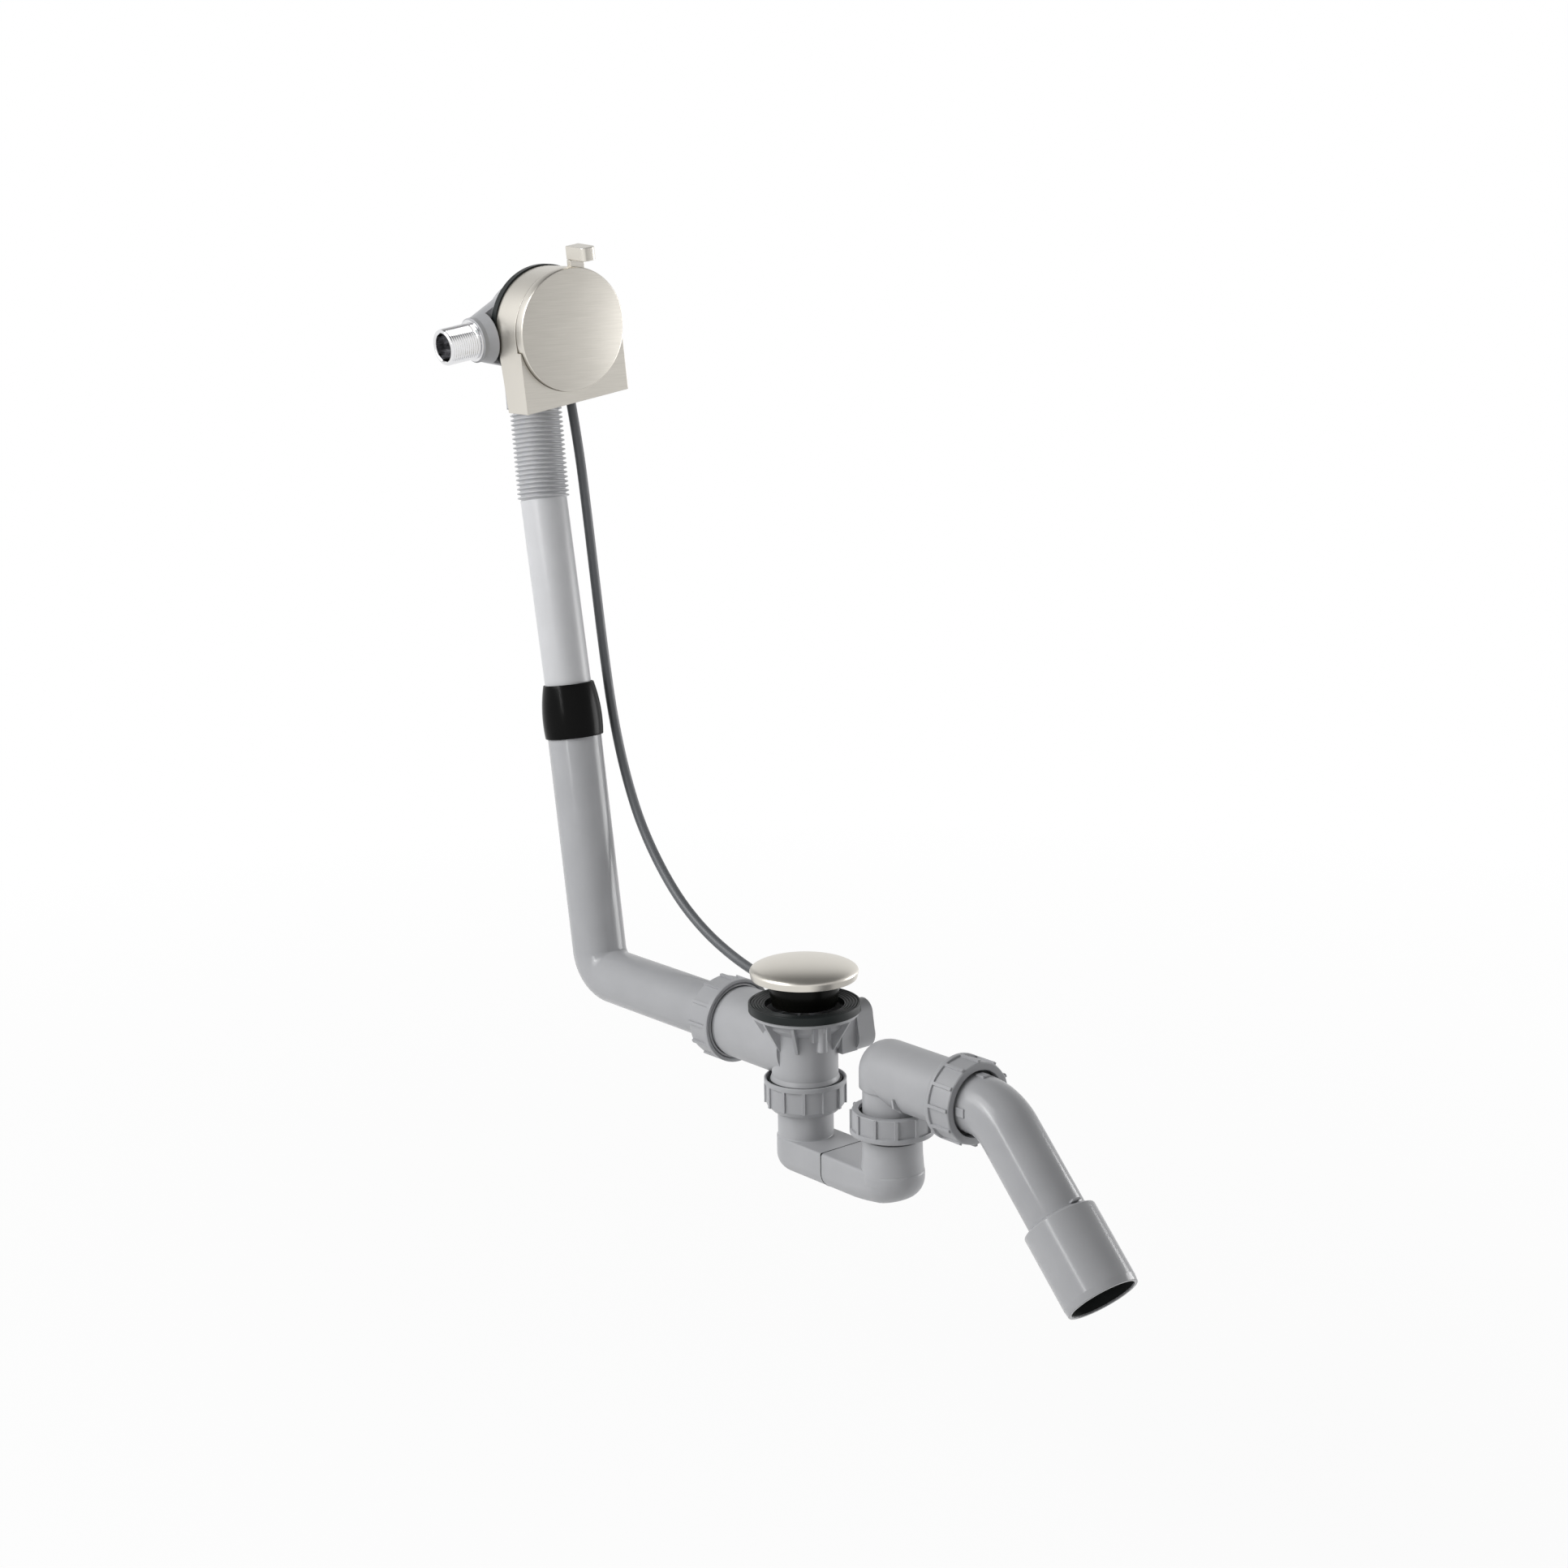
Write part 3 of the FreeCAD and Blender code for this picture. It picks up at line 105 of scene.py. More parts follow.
class Shader(Nodes):
    # the node tree of a material or of the world
    def __init__(self, owner):
        owner.use_nodes = True
        super().__init__(owner.node_tree)
        self.owner = owner
        self.tree.nodes.clear()

    def place(self):
        return self.add("ShaderNodeTexCoord", out=3)

    def noise(self, where, scale, detail=2.0, rough=0.5):
        return self.add("ShaderNodeTexNoise", None,
                        {"Vector": where, "Scale": scale, "Detail": detail, "Roughness": rough})

    def blend(self, factor, first, second):
        return self.add("ShaderNodeMix", {"data_type": "RGBA"}, {0: factor, 6: first, 7: second}, out=2)

    def finish(self, surface, kind="ShaderNodeOutputMaterial"):
        self.add(kind, None, {0: surface})
        return self.owner


class Grower(Nodes):
    # a geometry node tree, with the identifiers of its inputs by label
    def __init__(self, name, inputs):
        super().__init__(bpy.data.node_groups.new(name, "GeometryNodeTree"))
        sockets = self.tree.interface
        sockets.new_socket("Geometry", in_out="OUTPUT", socket_type="NodeSocketGeometry")
        self.keys = {}
        for label, kind in inputs.items():
            socket = sockets.new_socket(label, in_out="INPUT", socket_type="NodeSocket" + kind)
            self.keys[label] = socket.identifier
        self.group = self.tree.nodes.new("NodeGroupInput")

    def given(self, label):
        return Sock(self.tree, self.group.outputs[label])

    def finish(self, copies, material, weld=0.0):
        mesh = self.add("GeometryNodeRealizeInstances", None, {"Geometry": copies})
        if weld:
            mesh = self.add("GeometryNodeMergeByDistance", None, {"Geometry": mesh, "Distance": weld})
        mesh = self.add("GeometryNodeSetMaterial", None, {"Geometry": mesh, "Material": material})
        self.add("NodeGroupOutput", None, {0: mesh})


def rgb(red, green, blue):
    return (red, green, blue, 1.0)


finishes = {
    "greyPlastic": {"dark": rgb(0.41, 0.415, 0.43), "light": rgb(0.46, 0.465, 0.48), "rough": 0.40,
                    "grain": 0.05, "edge": 0.5},
    "glossyGrey": {"dark": rgb(0.41, 0.415, 0.43), "light": rgb(0.45, 0.455, 0.47), "rough": 0.21,
                   "grain": 0.03, "edge": 0, "relief": 0.004, "shine": 0.34},
    "nutPlastic": {"dark": rgb(0.38, 0.385, 0.40), "light": rgb(0.43, 0.435, 0.45), "rough": 0.38,
                   "grain": 0.05, "edge": 0.3},
    # near-black colours for a sheet inside the spigot's bore: painted shade, not the pipe's own grey
    "paintedBoreShade": {"dark": rgb(0.016, 0.018, 0.018), "light": rgb(0.024, 0.027, 0.027), "rough": 0.5,
                   "grain": 0.05, "edge": 0.2, "shine": 0.2},
    "palePlastic": {"dark": rgb(0.60, 0.605, 0.62), "light": rgb(0.66, 0.665, 0.68), "rough": 0.34,
                    "grain": 0.03, "edge": 0.3},
    "foldPlastic": {"dark": rgb(0.53, 0.535, 0.55), "light": rgb(0.59, 0.595, 0.61), "rough": 0.38,
                    "grain": 0.03, "edge": 0.2},
    "blackPlastic": {"dark": rgb(0.004, 0.004, 0.003), "light": rgb(0.007, 0.007, 0.006), "rough": 0.24,
                     "grain": 0.03, "edge": 0.4, "shine": 0.1},
    "sleeveRubber": {"dark": rgb(0.003, 0.003, 0.003), "light": rgb(0.006, 0.006, 0.006), "rough": 0.22,
                     "grain": 0.04, "edge": 0.4, "shine": 0.07},
    "blackRubber": {"dark": rgb(0.008, 0.011, 0.011), "light": rgb(0.016, 0.020, 0.020), "rough": 0.40,
                    "grain": 0.10, "edge": 0.2, "shine": 0.22},
    "cableJacket": {"dark": rgb(0.125, 0.132, 0.142), "light": rgb(0.165, 0.172, 0.182), "rough": 0.42,
                    "grain": 0.10, "edge": 0.2},
}


moulded = {"cloud": 38.0, "speckle": 900.0, "patchy": 0.10, "relief": 0.10, "depth": 0.00008}


def mouldedMaterial(name, look):
    m = Shader(bpy.data.materials.new(name))
    where = m.place()
    cloud = m.noise(where, moulded["cloud"], 3.0)
    fine = m.noise(where, moulded["speckle"], 2.0, 0.6)
    colour = m.blend((cloud * 1.6 - 0.3).clamped(), look["dark"], look["light"])
    rough = (fine - 0.5) * look["grain"] + (cloud - 0.5) * moulded["patchy"] + look["rough"]
    relief = {"Strength": look.get("relief", moulded["relief"]), "Distance": moulded["depth"], "Height": fine}
    if look["edge"]:
        relief["Normal"] = m.add("ShaderNodeBevel", {"samples": 6}, {"Radius": look["edge"] * mm})
    bump = m.add("ShaderNodeBump", None, relief)
    surface = m.add("ShaderNodeBsdfPrincipled", None,
                    {"Base Color": colour, "Roughness": rough, "Normal": bump,
                     "Specular IOR Level": look.get("shine", 0.5)})
    return m.finish(surface)


metals = {
    "satinNickel": {"dark": rgb(0.68, 0.65, 0.59), "light": rgb(0.73, 0.70, 0.64), "rough": 0.34,
                    "brushed": 0.05, "patchy": 0.06,
                    # the front colours are a darker copy of the nickel for faces towards X, painted shade;
                    # the colours above are the lit copy, painted light
                    "front": (rgb(0.41, 0.39, 0.355), rgb(0.48, 0.46, 0.42))},
    "polishedChrome": {"dark": rgb(0.76, 0.76, 0.77), "light": rgb(0.82, 0.82, 0.83), "rough": 0.09,
                       "brushed": 0.02, "patchy": 0.03},
    "turnedSteel": {"dark": rgb(0.50, 0.50, 0.51), "light": rgb(0.58, 0.58, 0.59), "rough": 0.28,
                    "brushed": 0.08, "patchy": 0.10},
}
brushing = {"lines": 1600.0, "cloud": 24.0, "drawn": 0.02, "strength": 0.06, "depth": 0.00004, "edge": 0.4}


def metalMaterial(name, look):
    # lit and shaded copies of one nickel: with a shaded front, the brushing runs along Y, faces towards X
    # take the darker front colours as painted shade, and the other faces keep the lighter colours as painted
    # light
    m = Shader(bpy.data.materials.new(name))
    where = m.place()
    front = look.get("front")
    stretch = (1.0, brushing["drawn"], 1.0) if front else (1.0, 1.0, 1.0)
    along = m.add("ShaderNodeMapping", None, {"Vector": where, "Scale": stretch})
    lines = m.noise(along, brushing["lines"])
    cloud = m.noise(where, brushing["cloud"])
    colour = m.blend(cloud, look["dark"], look["light"])
    rough = (lines - 0.5) * look["brushed"] + (cloud - 0.5) * look["patchy"] + look["rough"]
    if front:
        m.add("ShaderNodeTexCoord")
        normal = m.add("ShaderNodeSeparateXYZ", None, {"Vector": m.another("Normal")})
        # mask of the faces towards X, which take the darker copy as painted shade
        shadedFacing = ((normal - 0.80) * 8.0).clamped()
        shadedFrontColour = m.blend((lines * 1.4 - 0.2).clamped(), front[0], front[1])
        colour = m.blend(shadedFacing, colour, shadedFrontColour)
    edge = m.add("ShaderNodeBevel", {"samples": 6}, {"Radius": brushing["edge"] * mm})
    bump = m.add("ShaderNodeBump", None,
                 {"Strength": brushing["strength"], "Distance": brushing["depth"], "Height": lines,
                  "Normal": edge})
    surface = m.add("ShaderNodeBsdfPrincipled", None,
                    {"Base Color": colour, "Roughness": rough, "Normal": bump, "Metallic": 1.0})
    return m.finish(surface)


materials = {name: mouldedMaterial(name, look) for name, look in finishes.items()}
materials.update({name: metalMaterial(name, look) for name, look in metals.items()})
print("materials made,", len(materials))

slotMaterials = {
    "grey_plastic": "greyPlastic", "pale_plastic": "palePlastic", "black_plastic": "blackPlastic",
    "black_rubber": "blackRubber", "satin_nickel": "satinNickel", "polished_chrome": "polishedChrome",
    "steel": "turnedSteel", "cable_jacket": "cableJacket",
}
slotOf = {entry["node"]: entry["material_slot"] for entry in frame["record"]["subparts"]}


# Mesh helpers, in millimetres until the last step

def placed(origin, axis, side=(0, 1, 0)):
    z = Vector(axis).normalized()
    x = Vector(side).cross(z).normalized()
    y = z.cross(x)
    turn = Matrix((x, y, z)).transposed().to_4x4()
    return Matrix.Translation(Vector(origin)) @ turn


def linked(name, data):
    obj = bpy.data.objects.new(name, data)
    bpy.context.scene.collection.objects.link(obj)
    return obj


def evaluated(obj):
    # the plain mesh of an object with its modifiers applied
    bpy.context.view_layer.update()
    depsgraph = bpy.context.evaluated_depsgraph_get()
    return bpy.data.meshes.new_from_object(obj.evaluated_get(depsgraph))


def meshObject(name, verts, faces, place=None, sharp=38.0):
    data = bpy.data.meshes.new(name)
    spot = place or Matrix.Identity(4)
    data.from_pydata([tuple((spot @ Vector(v)) * mm) for v in verts], [], faces)
    work = bmesh.new()
    work.from_mesh(data)
    bmesh.ops.remove_doubles(work, verts=work.verts, dist=1e-6)
    bmesh.ops.recalc_face_normals(work, faces=work.faces)
    work.to_mesh(data)
    work.free()
    data.polygons.foreach_set("use_smooth", [True] * len(data.polygons))
    data.set_sharp_from_angle(angle=math.radians(sharp))
    return linked(name, data)


def softened(rows, steps=4):
    # each row is radius, height and, where the corner is rounded, a fillet radius
    out = []
    count = len(rows)
    for i, row in enumerate(rows):
        here = Vector(row[:2])
        fillet = row[2] if len(row) > 2 else 0.0
        if fillet <= 0:
            out.append(here)
            continue
        back = Vector(rows[i - 1][:2]) - here
        ahead = Vector(rows[(i + 1) % count][:2]) - here
        half = back.angle(ahead) / 2
        reach = min(fillet / math.tan(half), back.length * 0.48, ahead.length * 0.48)
        radius = reach * math.tan(half)
        back.normalize()
        ahead.normalize()
        centre = here + (back + ahead).normalized() * (radius / math.sin(half))
        first = here + back * reach - centre
        last = here + ahead * reach - centre
        sweep = first.angle_signed(last) if first.length > 1e-9 and last.length > 1e-9 else 0.0
        for k in range(steps + 1):
            angle = -sweep * k / steps
            c, s = math.cos(angle), math.sin(angle)
            out.append(centre + Vector((first.x * c - first.y * s, first.x * s + first.y * c)))
    return out


def lathe(name, rows, place=None, segments=96, sharp=38.0, shape=None, extra=()):
    # a turned shape; the shape function, where given, bends the round into another outline
    loop = softened(rows)
    verts = []
    angles = sorted([2 * math.pi * k / segments for k in range(segments)] + list(extra))
    segments = len(angles)
    for angle in angles:
        for p in loop:
            r = shape(p.x, p.y, angle) if shape else p.x
            verts.append((r * math.cos(angle), r * math.sin(angle), p.y))
    faces = []
    size = len(loop)
    for k in range(segments):
        for i in range(size):
            j = (i + 1) % size
            a, b = k * size, ((k + 1) % segments) * size
            if loop[i].x < 1e-6 and loop[j].x < 1e-6:
                continue
            if loop[i].x < 1e-6:
                faces.append((a + i, a + j, b + j))
            elif loop[j].x < 1e-6:
                faces.append((a + i, a + j, b + i))
            else:
                faces.append((a + i, a + j, b + j, b + i))
    return meshObject(name, verts, faces, place, sharp)


def bentPath(points, radii, step=6.0):
    # runs between the points with a tangent arc at each inner point, as centres and directions
    stations = []
    here = Vector(points[0])
    for i in range(1, len(points) - 1):
        corner = Vector(points[i])
        back = (Vector(points[i - 1]) - corner).normalized()
        ahead = (Vector(points[i + 1]) - corner).normalized()
        turn = math.pi - back.angle(ahead)
        reach = radii[i - 1] * math.tan(turn / 2)
        stations.append((here, -back))
        normal = back.cross(ahead).normalized()
        start = corner + back * reach
        hub = start + normal.cross(back) * radii[i - 1]
        count = max(4, int(math.degrees(turn) / step))
        for k in range(count + 1):
            angle = turn * k / count
            spin = Matrix.Rotation(-angle, 3, normal)
            heading = spin @ (-back)
            stations.append((hub + spin @ (start - hub), heading))
        here = corner + ahead * reach
        last = ahead
    stations.append((Vector(points[-1]), last))
    return stations


def pipe(name, stations, outer, inner, segments=96, lip=0.5):
    # outer and inner walls swept along the stations, closed by rounded end rings
    first, last = stations[0], stations[-1]
    side = Vector((0, 1, 0))

    def ringAt(centre, heading, radius):
        x = side.cross(heading).normalized()
        y = heading.cross(x)
        return [centre + (x * math.cos(a) + y * math.sin(a)) * radius
                for a in [2 * math.pi * k / segments for k in range(segments)]]

    rings = [ringAt(first[0] + first[1] * lip * (1 - math.cos(a)), first[1], outer - lip + lip * math.sin(a))
             for a in (0, math.pi / 6, math.pi / 3, math.pi / 2)]
    rings += [ringAt(c, h, outer) for c, h in stations[1:-1]]
    rings += [ringAt(last[0] - last[1] * lip * (1 - math.cos(a)), last[1], outer - lip + lip * math.sin(a))
              for a in (math.pi / 2, math.pi / 3, math.pi / 6, 0)]
    rings += [ringAt(c, h, inner) for c, h in reversed(stations)]
    verts = [p for ring in rings for p in ring]
    faces = []
    count = len(rings)
    for r in range(count):
        a, b = r * segments, ((r + 1) % count) * segments
        for k in range(segments):
            n = (k + 1) % segments
            faces.append((a + k, a + n, b + n, b + k))
    return meshObject(name, verts, faces)


def prism(name, outline, low, high, place, cap=(0, 1, 2)):
    # outline points in two axes, run along the third; cap gives the order of the axes
    verts = []
    for level in (low, high):
        for a, b in outline:
            spot = [0.0, 0.0, 0.0]
            spot[cap[0]], spot[cap[1]], spot[cap[2]] = a, b, level
            verts.append(spot)
    n = len(outline)
    faces = [tuple(range(n)), tuple(range(n, 2 * n))]
    faces += [(i, (i + 1) % n, n + (i + 1) % n, n + i) for i in range(n)]
    return meshObject(name, verts, faces, place, 35)


def bevelled(obj, width, segments=3):
    modifier = obj.modifiers.new("edges", "BEVEL")
    modifier.width = width * mm
    modifier.segments = segments
    modifier.limit_method = "ANGLE"
    modifier.angle_limit = math.radians(30)
    modifier.harden_normals = True
    data = evaluated(obj)
    obj.modifiers.clear()
    obj.data = data
    return obj


def grown(name, seed, rule, values):
    # the plain mesh that a geometry node tree makes from a seed mesh
    holder = linked(name + "Maker", seed)
    modifier = holder.modifiers.new("rule", "NODES")
    modifier.node_group = rule.tree
    for label, value in values.items():
        modifier[rule.keys[label]] = value
    data = evaluated(holder)
    bpy.data.objects.remove(holder)
    return linked(name, data)


def dress(obj, material, body, *replaced):
    obj.data.materials.clear()
    obj.data.materials.append(materials[material])
    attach(obj, body)
    if replaced:
        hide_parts(*replaced)
    return obj


# Camera

camera = {"azimuth": 49.937, "elevation": 13.008, "roll": -0.801, "focal": 3423.488, "distance": 1907.033,
          "originU": 991.079, "originV": 1233.611, "frame": 1932.0, "sensor": 36.0}


def makeCamera():
    a, e, r = (math.radians(camera[k]) for k in ("azimuth", "elevation", "roll"))
    back = Vector((math.sin(a) * math.cos(e), -math.cos(a) * math.cos(e), math.sin(e)))
    right = Vector((math.cos(a), math.sin(a), 0))
    up = back.cross(right)
    rolledRight = right * math.cos(r) + up * math.sin(r)
    rolledUp = up * math.cos(r) - right * math.sin(r)
    half = camera["frame"] / 2
    share = camera["distance"] / camera["focal"]
    spot = back * camera["distance"] - rolledRight * ((camera["originU"] - half) * share)
    spot += rolledUp * ((camera["originV"] - half) * share)
    data = bpy.data.cameras.new("photoCamera")
    data.sensor_width = camera["sensor"]
    data.lens = camera["focal"] / camera["frame"] * camera["sensor"]
    data.clip_start = 0.01
    data.clip_end = 50.0
    obj = linked("photoCamera", data)
    turn = Matrix((rolledRight, rolledUp, back)).transposed().to_4x4()
    obj.matrix_world = Matrix.Translation(spot * mm) @ turn
    bpy.context.scene.camera = obj


makeCamera()

# Cable

cable = {
    "radius": 3.6,
    "length": 569.9,
    "route": [
        (-294.5, 31.0, 389.0), (-286.9, 31.3, 358.0), (-279.0, 31.7, 307.0), (-271.9, 32.1, 256.0),
        (-264.6, 32.5, 206.0), (-255.8, 33.0, 156.5), (-243.0, 34.4, 111.0), (-225.0, 36.0, 71.5),
        (-194.0, 37.8, 33.5), (-160.5, 38.8, 10.0), (-122.0, 39.7, -5.4), (-82.0, 39.2, -12.8),
        (-42.0, 36.2, -15.0), (-10.0, 36.2, -15.0)],
}


def makeCable():
    curve = bpy.data.curves.new("cable", "CURVE")
    curve.dimensions = "3D"
    curve.bevel_depth = cable["radius"] * mm
    curve.bevel_resolution = 6
    curve.resolution_u = 16
    curve.use_fill_caps = True
    spline = curve.splines.new("NURBS")
    spline.points.add(len(cable["route"]) - 1)
    for point, place in zip(spline.points, cable["route"]):
        point.co = (place[0] * mm, place[1] * mm, place[2] * mm, 1.0)
    spline.order_u = 3
    spline.use_endpoint_u = True
    obj = linked("cable", curve)
    dress(obj, "cableJacket", "body", "cable_sheath")


makeCable()
print("camera and cable placed")

for name, obj in nodes.items():
    finish = materials[slotMaterials[slotOf[name]]]
    obj.data.materials.clear()
    obj.data.materials.append(finish)

# Plug and waste

plug = {"capRadius": 37.5, "rimLow": 17.5, "band": 4.5, "crown": 8.0, "wall": 1.8, "innerShare": 0.952,
        "carrierTop": 25.6, "carrierFoot": 22.6, "footLow": -1.6, "grooveLow": 4.5, "grooveHigh": 1.5,
        "sealStand": 1.4, "spindle": 3.0, "spindleLow": -19.4}


def makePlug():
    p = plug
    edge = p["rimLow"] + p["band"]
    dome = []
    for i in range(25):
        t = math.pi / 2 * i / 24
        dome.append((p["capRadius"] * math.sin(t), edge + p["crown"] * math.cos(t)))
    inner = [(r * p["innerShare"], z - p["wall"]) for r, z in reversed(dome)]
    inner[-1] = (0.0, inner[-1][1])
    rows = dome[:-1] + [(p["capRadius"], edge, 0.7), (p["capRadius"] - 0.9, p["rimLow"], 0.5),
                        (p["capRadius"] - 2.6, p["rimLow"], 0.3)] + inner[1:]
    dress(lathe("plugCap", rows, segments=160), "satinNickel", "plug", "plug_cap")
    under = p["rimLow"] + 0.8
    low, high = under - p["grooveLow"], under - p["grooveHigh"]
    slope = (p["carrierTop"] - p["carrierFoot"]) / (under - p["footLow"])
    mid = p["carrierFoot"] + slope * (low - p["footLow"])
    rows = [(5.0, under + 2.0), (p["capRadius"] - 2.1, under + 2.0, 0.3), (p["capRadius"] - 2.1, under, 0.3),
            (p["carrierTop"] + 1.0, under), (p["carrierTop"] + 1.0, high, 0.3), (p["carrierTop"] - 1.0, high),
            (p["carrierTop"] - 1.0, low), (mid, low, 0.3), (p["carrierFoot"], p["footLow"], 0.8),
            (p["carrierFoot"] - 2.2, p["footLow"], 0.5), (p["carrierTop"] - 3.4, under - 2),
            (7.0, under - 2, 1.0), (7.0, 0.5, 0.5), (5.0, 0.5)]
    dress(lathe("plugCarrier", rows, segments=128), "blackPlastic", "plug", "plug_carrier")
    inside = p["carrierTop"] - 1.0
    lip = p["carrierTop"] + p["sealStand"]
    rows = [(inside, low + 0.05), (inside, high - 0.05), (lip, high - 0.05, 0.3), (lip, high - 0.9, 0.3),
            (inside + 1.2, low + 0.05, 0.3)]
    dress(lathe("plugSeal", rows, segments=128), "blackRubber", "plug", "plug_seal")
    foot, top = p["spindleLow"], p["rimLow"] - 9
    rows = [(0, foot), (p["spindle"] - 0.8, foot, 0.2), (p["spindle"], foot + 0.8, 0.3),
            (p["spindle"], top), (0, top)]
    dress(lathe("plugSpindle", rows, segments=40), "turnedSteel", "plug", "plug_spindle")


seatRing = {"radius": 38.75, "depth": 5.9, "bore": 27.5, "boreTop": -2.2, "ridges": 5, "rim": 37.65,
            "drop": 0.4, "dropStep": 0.2, "groove": 0.9}


def makeSeatRing():
    g = seatRing
    pitch = (g["rim"] - g["bore"]) / g["ridges"]
    rows = [(g["bore"], -g["depth"]), (g["radius"], -g["depth"], 0.4), (g["radius"], 0.0, 0.5),
            (g["rim"], 0.0, 0.3)]
    for i in range(g["ridges"]):
        outer = g["rim"] - i * pitch
        drop = g["drop"] + g["dropStep"] * i
        for share, depth in ((0.22, g["groove"]), (0.50, g["groove"]), (0.70, 0.0), (0.92, 0.0)):
            rows.append((outer - share * pitch, -drop - depth, 0.2))
    rows.append((g["bore"], g["boreTop"], 0.3))
    dress(lathe("flangeGasket", rows, segments=160, sharp=50), "blackRubber", "body", "flange_gasket")


makePlug()
makeSeatRing()
print("plug and seat made")

# Nuts: a turned body, and ribs set round it by a node tree

nutShape = {"ribs": 12, "ribWidth": 2.4, "ribHeight": 1.2, "ribSunk": 1.2, "ring": 3.6, "flat": 0.45}
nuts = {
    "trapInletNut": {"node": "trap_inlet_nut", "origin": (0, 0, -54.0), "axis": (0, 0, 1), "radius": 28.6,
                     "length": 22.6, "mouth": 26.4, "end": 20.3, "depth": 14.0, "chamfer": 4.0,
                     "phase": 16.8},
    "trapOutletNut": {"node": "trap_outlet_nut", "origin": (89.0, 0, -70.1), "axis": (0, 0, -1),
                      "radius": 28.6, "length": 16.6, "mouth": 25.2, "end": 22.5, "depth": 13.6,
                      "chamfer": 0.6, "phase": 6.8},
    "outletNut": {"node": "outlet_nut", "origin": (150.8, 0, -29.3), "axis": (-1, 0, 0), "radius": 29.0,
                  "length": 20.6, "mouth": 26.6, "end": 22.3, "depth": 16.0, "chamfer": 0.8, "phase": 2.5},
    "overflowNut": {"node": "overflow_nut", "origin": (-71.2, 0, -30.85), "axis": (1, 0, 0), "radius": 30.1,
                    "length": 25.6, "mouth": 26.9, "end": 20.3, "depth": 19.0, "chamfer": 5.0,
                    "phase": 28.3},
}


def ribRule(material):
    m = Grower("ribRing", {"Count": "Int", "Radius": "Float", "Width": "Float", "Height": "Float",
                           "Length": "Float", "Middle": "Float"})
    circle = m.add("GeometryNodeMeshCircle", None,
                   {"Vertices": m.given("Count"), "Radius": m.given("Radius")})
    size = m.add("ShaderNodeCombineXYZ", None,
                 {0: m.given("Height"), 1: m.given("Width"), 2: m.given("Length")})
    bar = m.add("GeometryNodeMeshCube", None, {"Size": size})
    lift = m.add("ShaderNodeCombineXYZ", None, {2: m.given("Middle")})
    moved = m.add("GeometryNodeTransform", None, {"Geometry": bar, "Translation": lift})
    where = m.add("GeometryNodeInputPosition")
    align = m.add("FunctionNodeAlignRotationToVector", {"axis": "X", "pivot_axis": "Z"}, {"Vector": where})
    ribs = m.add("GeometryNodeInstanceOnPoints", None,
                 {"Points": circle, "Instance": moved, "Rotation": align})
    m.finish(ribs, material)
    return m


def makeNuts():
    rule = ribRule(materials["nutPlastic"])
    n = nutShape
    step = 2 * math.pi / n["ribs"]
    for name, nut in nuts.items():
        place = placed(nut["origin"], nut["axis"]) @ Matrix.Rotation(math.radians(nut["phase"]), 4, "Z")
        r, length = nut["radius"], nut["length"]
        body = r - n["ribHeight"]
        foot = body - nut["chamfer"]

        def flatSided(radius, height, angle):
            below = height < -n["ring"] - 0.1
            share = (radius - foot + 1.5) / (body - foot + 1.5) * n["flat"] if below else 0.0
            flat = math.cos(step / 2) / math.cos(angle % step - step / 2)
            return radius * (1 + (flat - 1) * max(0.0, min(1.0, share)))

        rows = [(nut["end"], -length, 0.4), (nut["end"], -nut["depth"]), (nut["mouth"], -nut["depth"]),
                (nut["mouth"], -1.6, 0.3), (nut["mouth"] + 0.9, 0, 0.3), (r, 0, 0.7), (r, -n["ring"], 0.4),
                (body, -n["ring"] - 0.2, 0.1), (body, -length + nut["chamfer"], 0.8), (foot, -length, 0.8)]
        dress(lathe(name, rows, place, 144, shape=flatSided), "nutPlastic", "body", nut["node"])
        long = length - n["ring"] - nut["chamfer"]
        tall = n["ribHeight"] + n["ribSunk"]
        values = {"Count": n["ribs"], "Radius": r - tall / 2, "Width": n["ribWidth"], "Height": tall,
                  "Length": long + 0.6, "Middle": -n["ring"] - long / 2 + 0.1}
        ribs = grown(name + "Ribs", bpy.data.meshes.new(name + "Seed"), rule, values)
        ribs.data.transform(Matrix.Scale(mm, 4) @ place)
        dress(bevelled(ribs, 0.25, 2), "nutPlastic", "body", nut["node"])


branchRing = {"bore": 25.3, "gap": 0.1, "low": -3.0, "lip": -0.7, "face": -0.4}


def makeBranchRing():
    # the end of the branch that shows in the mouth of the overflow nut
    nut, b = nuts["overflowNut"], branchRing
    outer = nut["mouth"] - b["gap"]
    rows = [(b["bore"], b["low"]), (outer, b["low"]), (outer, b["lip"], 0.3), (b["bore"], b["face"], 0.2)]
    place = placed(nut["origin"], nut["axis"])
    dress(lathe("branchRing", rows, place), "greyPlastic", "body", nut["node"])


makeNuts()
makeBranchRing()
print("nuts made")

# Pipes

pipes = {
    "lower": {"foot": (-233.7, 0, -30.85), "lean": 8.4, "start": -64.0, "radius": 20.0, "wall": 2.0,
              "bend": 21.0, "length": 196.0},
    "bend": {"corner": (189.3, 0, -29.3), "drop": 44.6, "roll": 2.8, "start": 157.2, "radius": 20.0,
             "wall": 2.6, "bend": 40.0, "spigot": 25.0, "spigotWall": 2.8, "spigotStart": 80.9,
             "spigotEnd": 137.3},
    "elbow": {"axisX": 89.0, "axisZ": -29.3, "low": -65.0, "end": 157.0, "radius": 22.2, "wall": 2.6,
              "round": 19.0, "stub": 20.0, "lip": -38.5},
}
elbowCollar = {"at": 156.8, "bore": 20.3, "radius": 24.6, "length": 7.6}
elbowFin = {"outline": [(-15.0, -47.5), (-21.6, -43.0), (-22.8, -36.5), (-15.0, -36.5)], "from": 112.6,
            "to": 114.4}
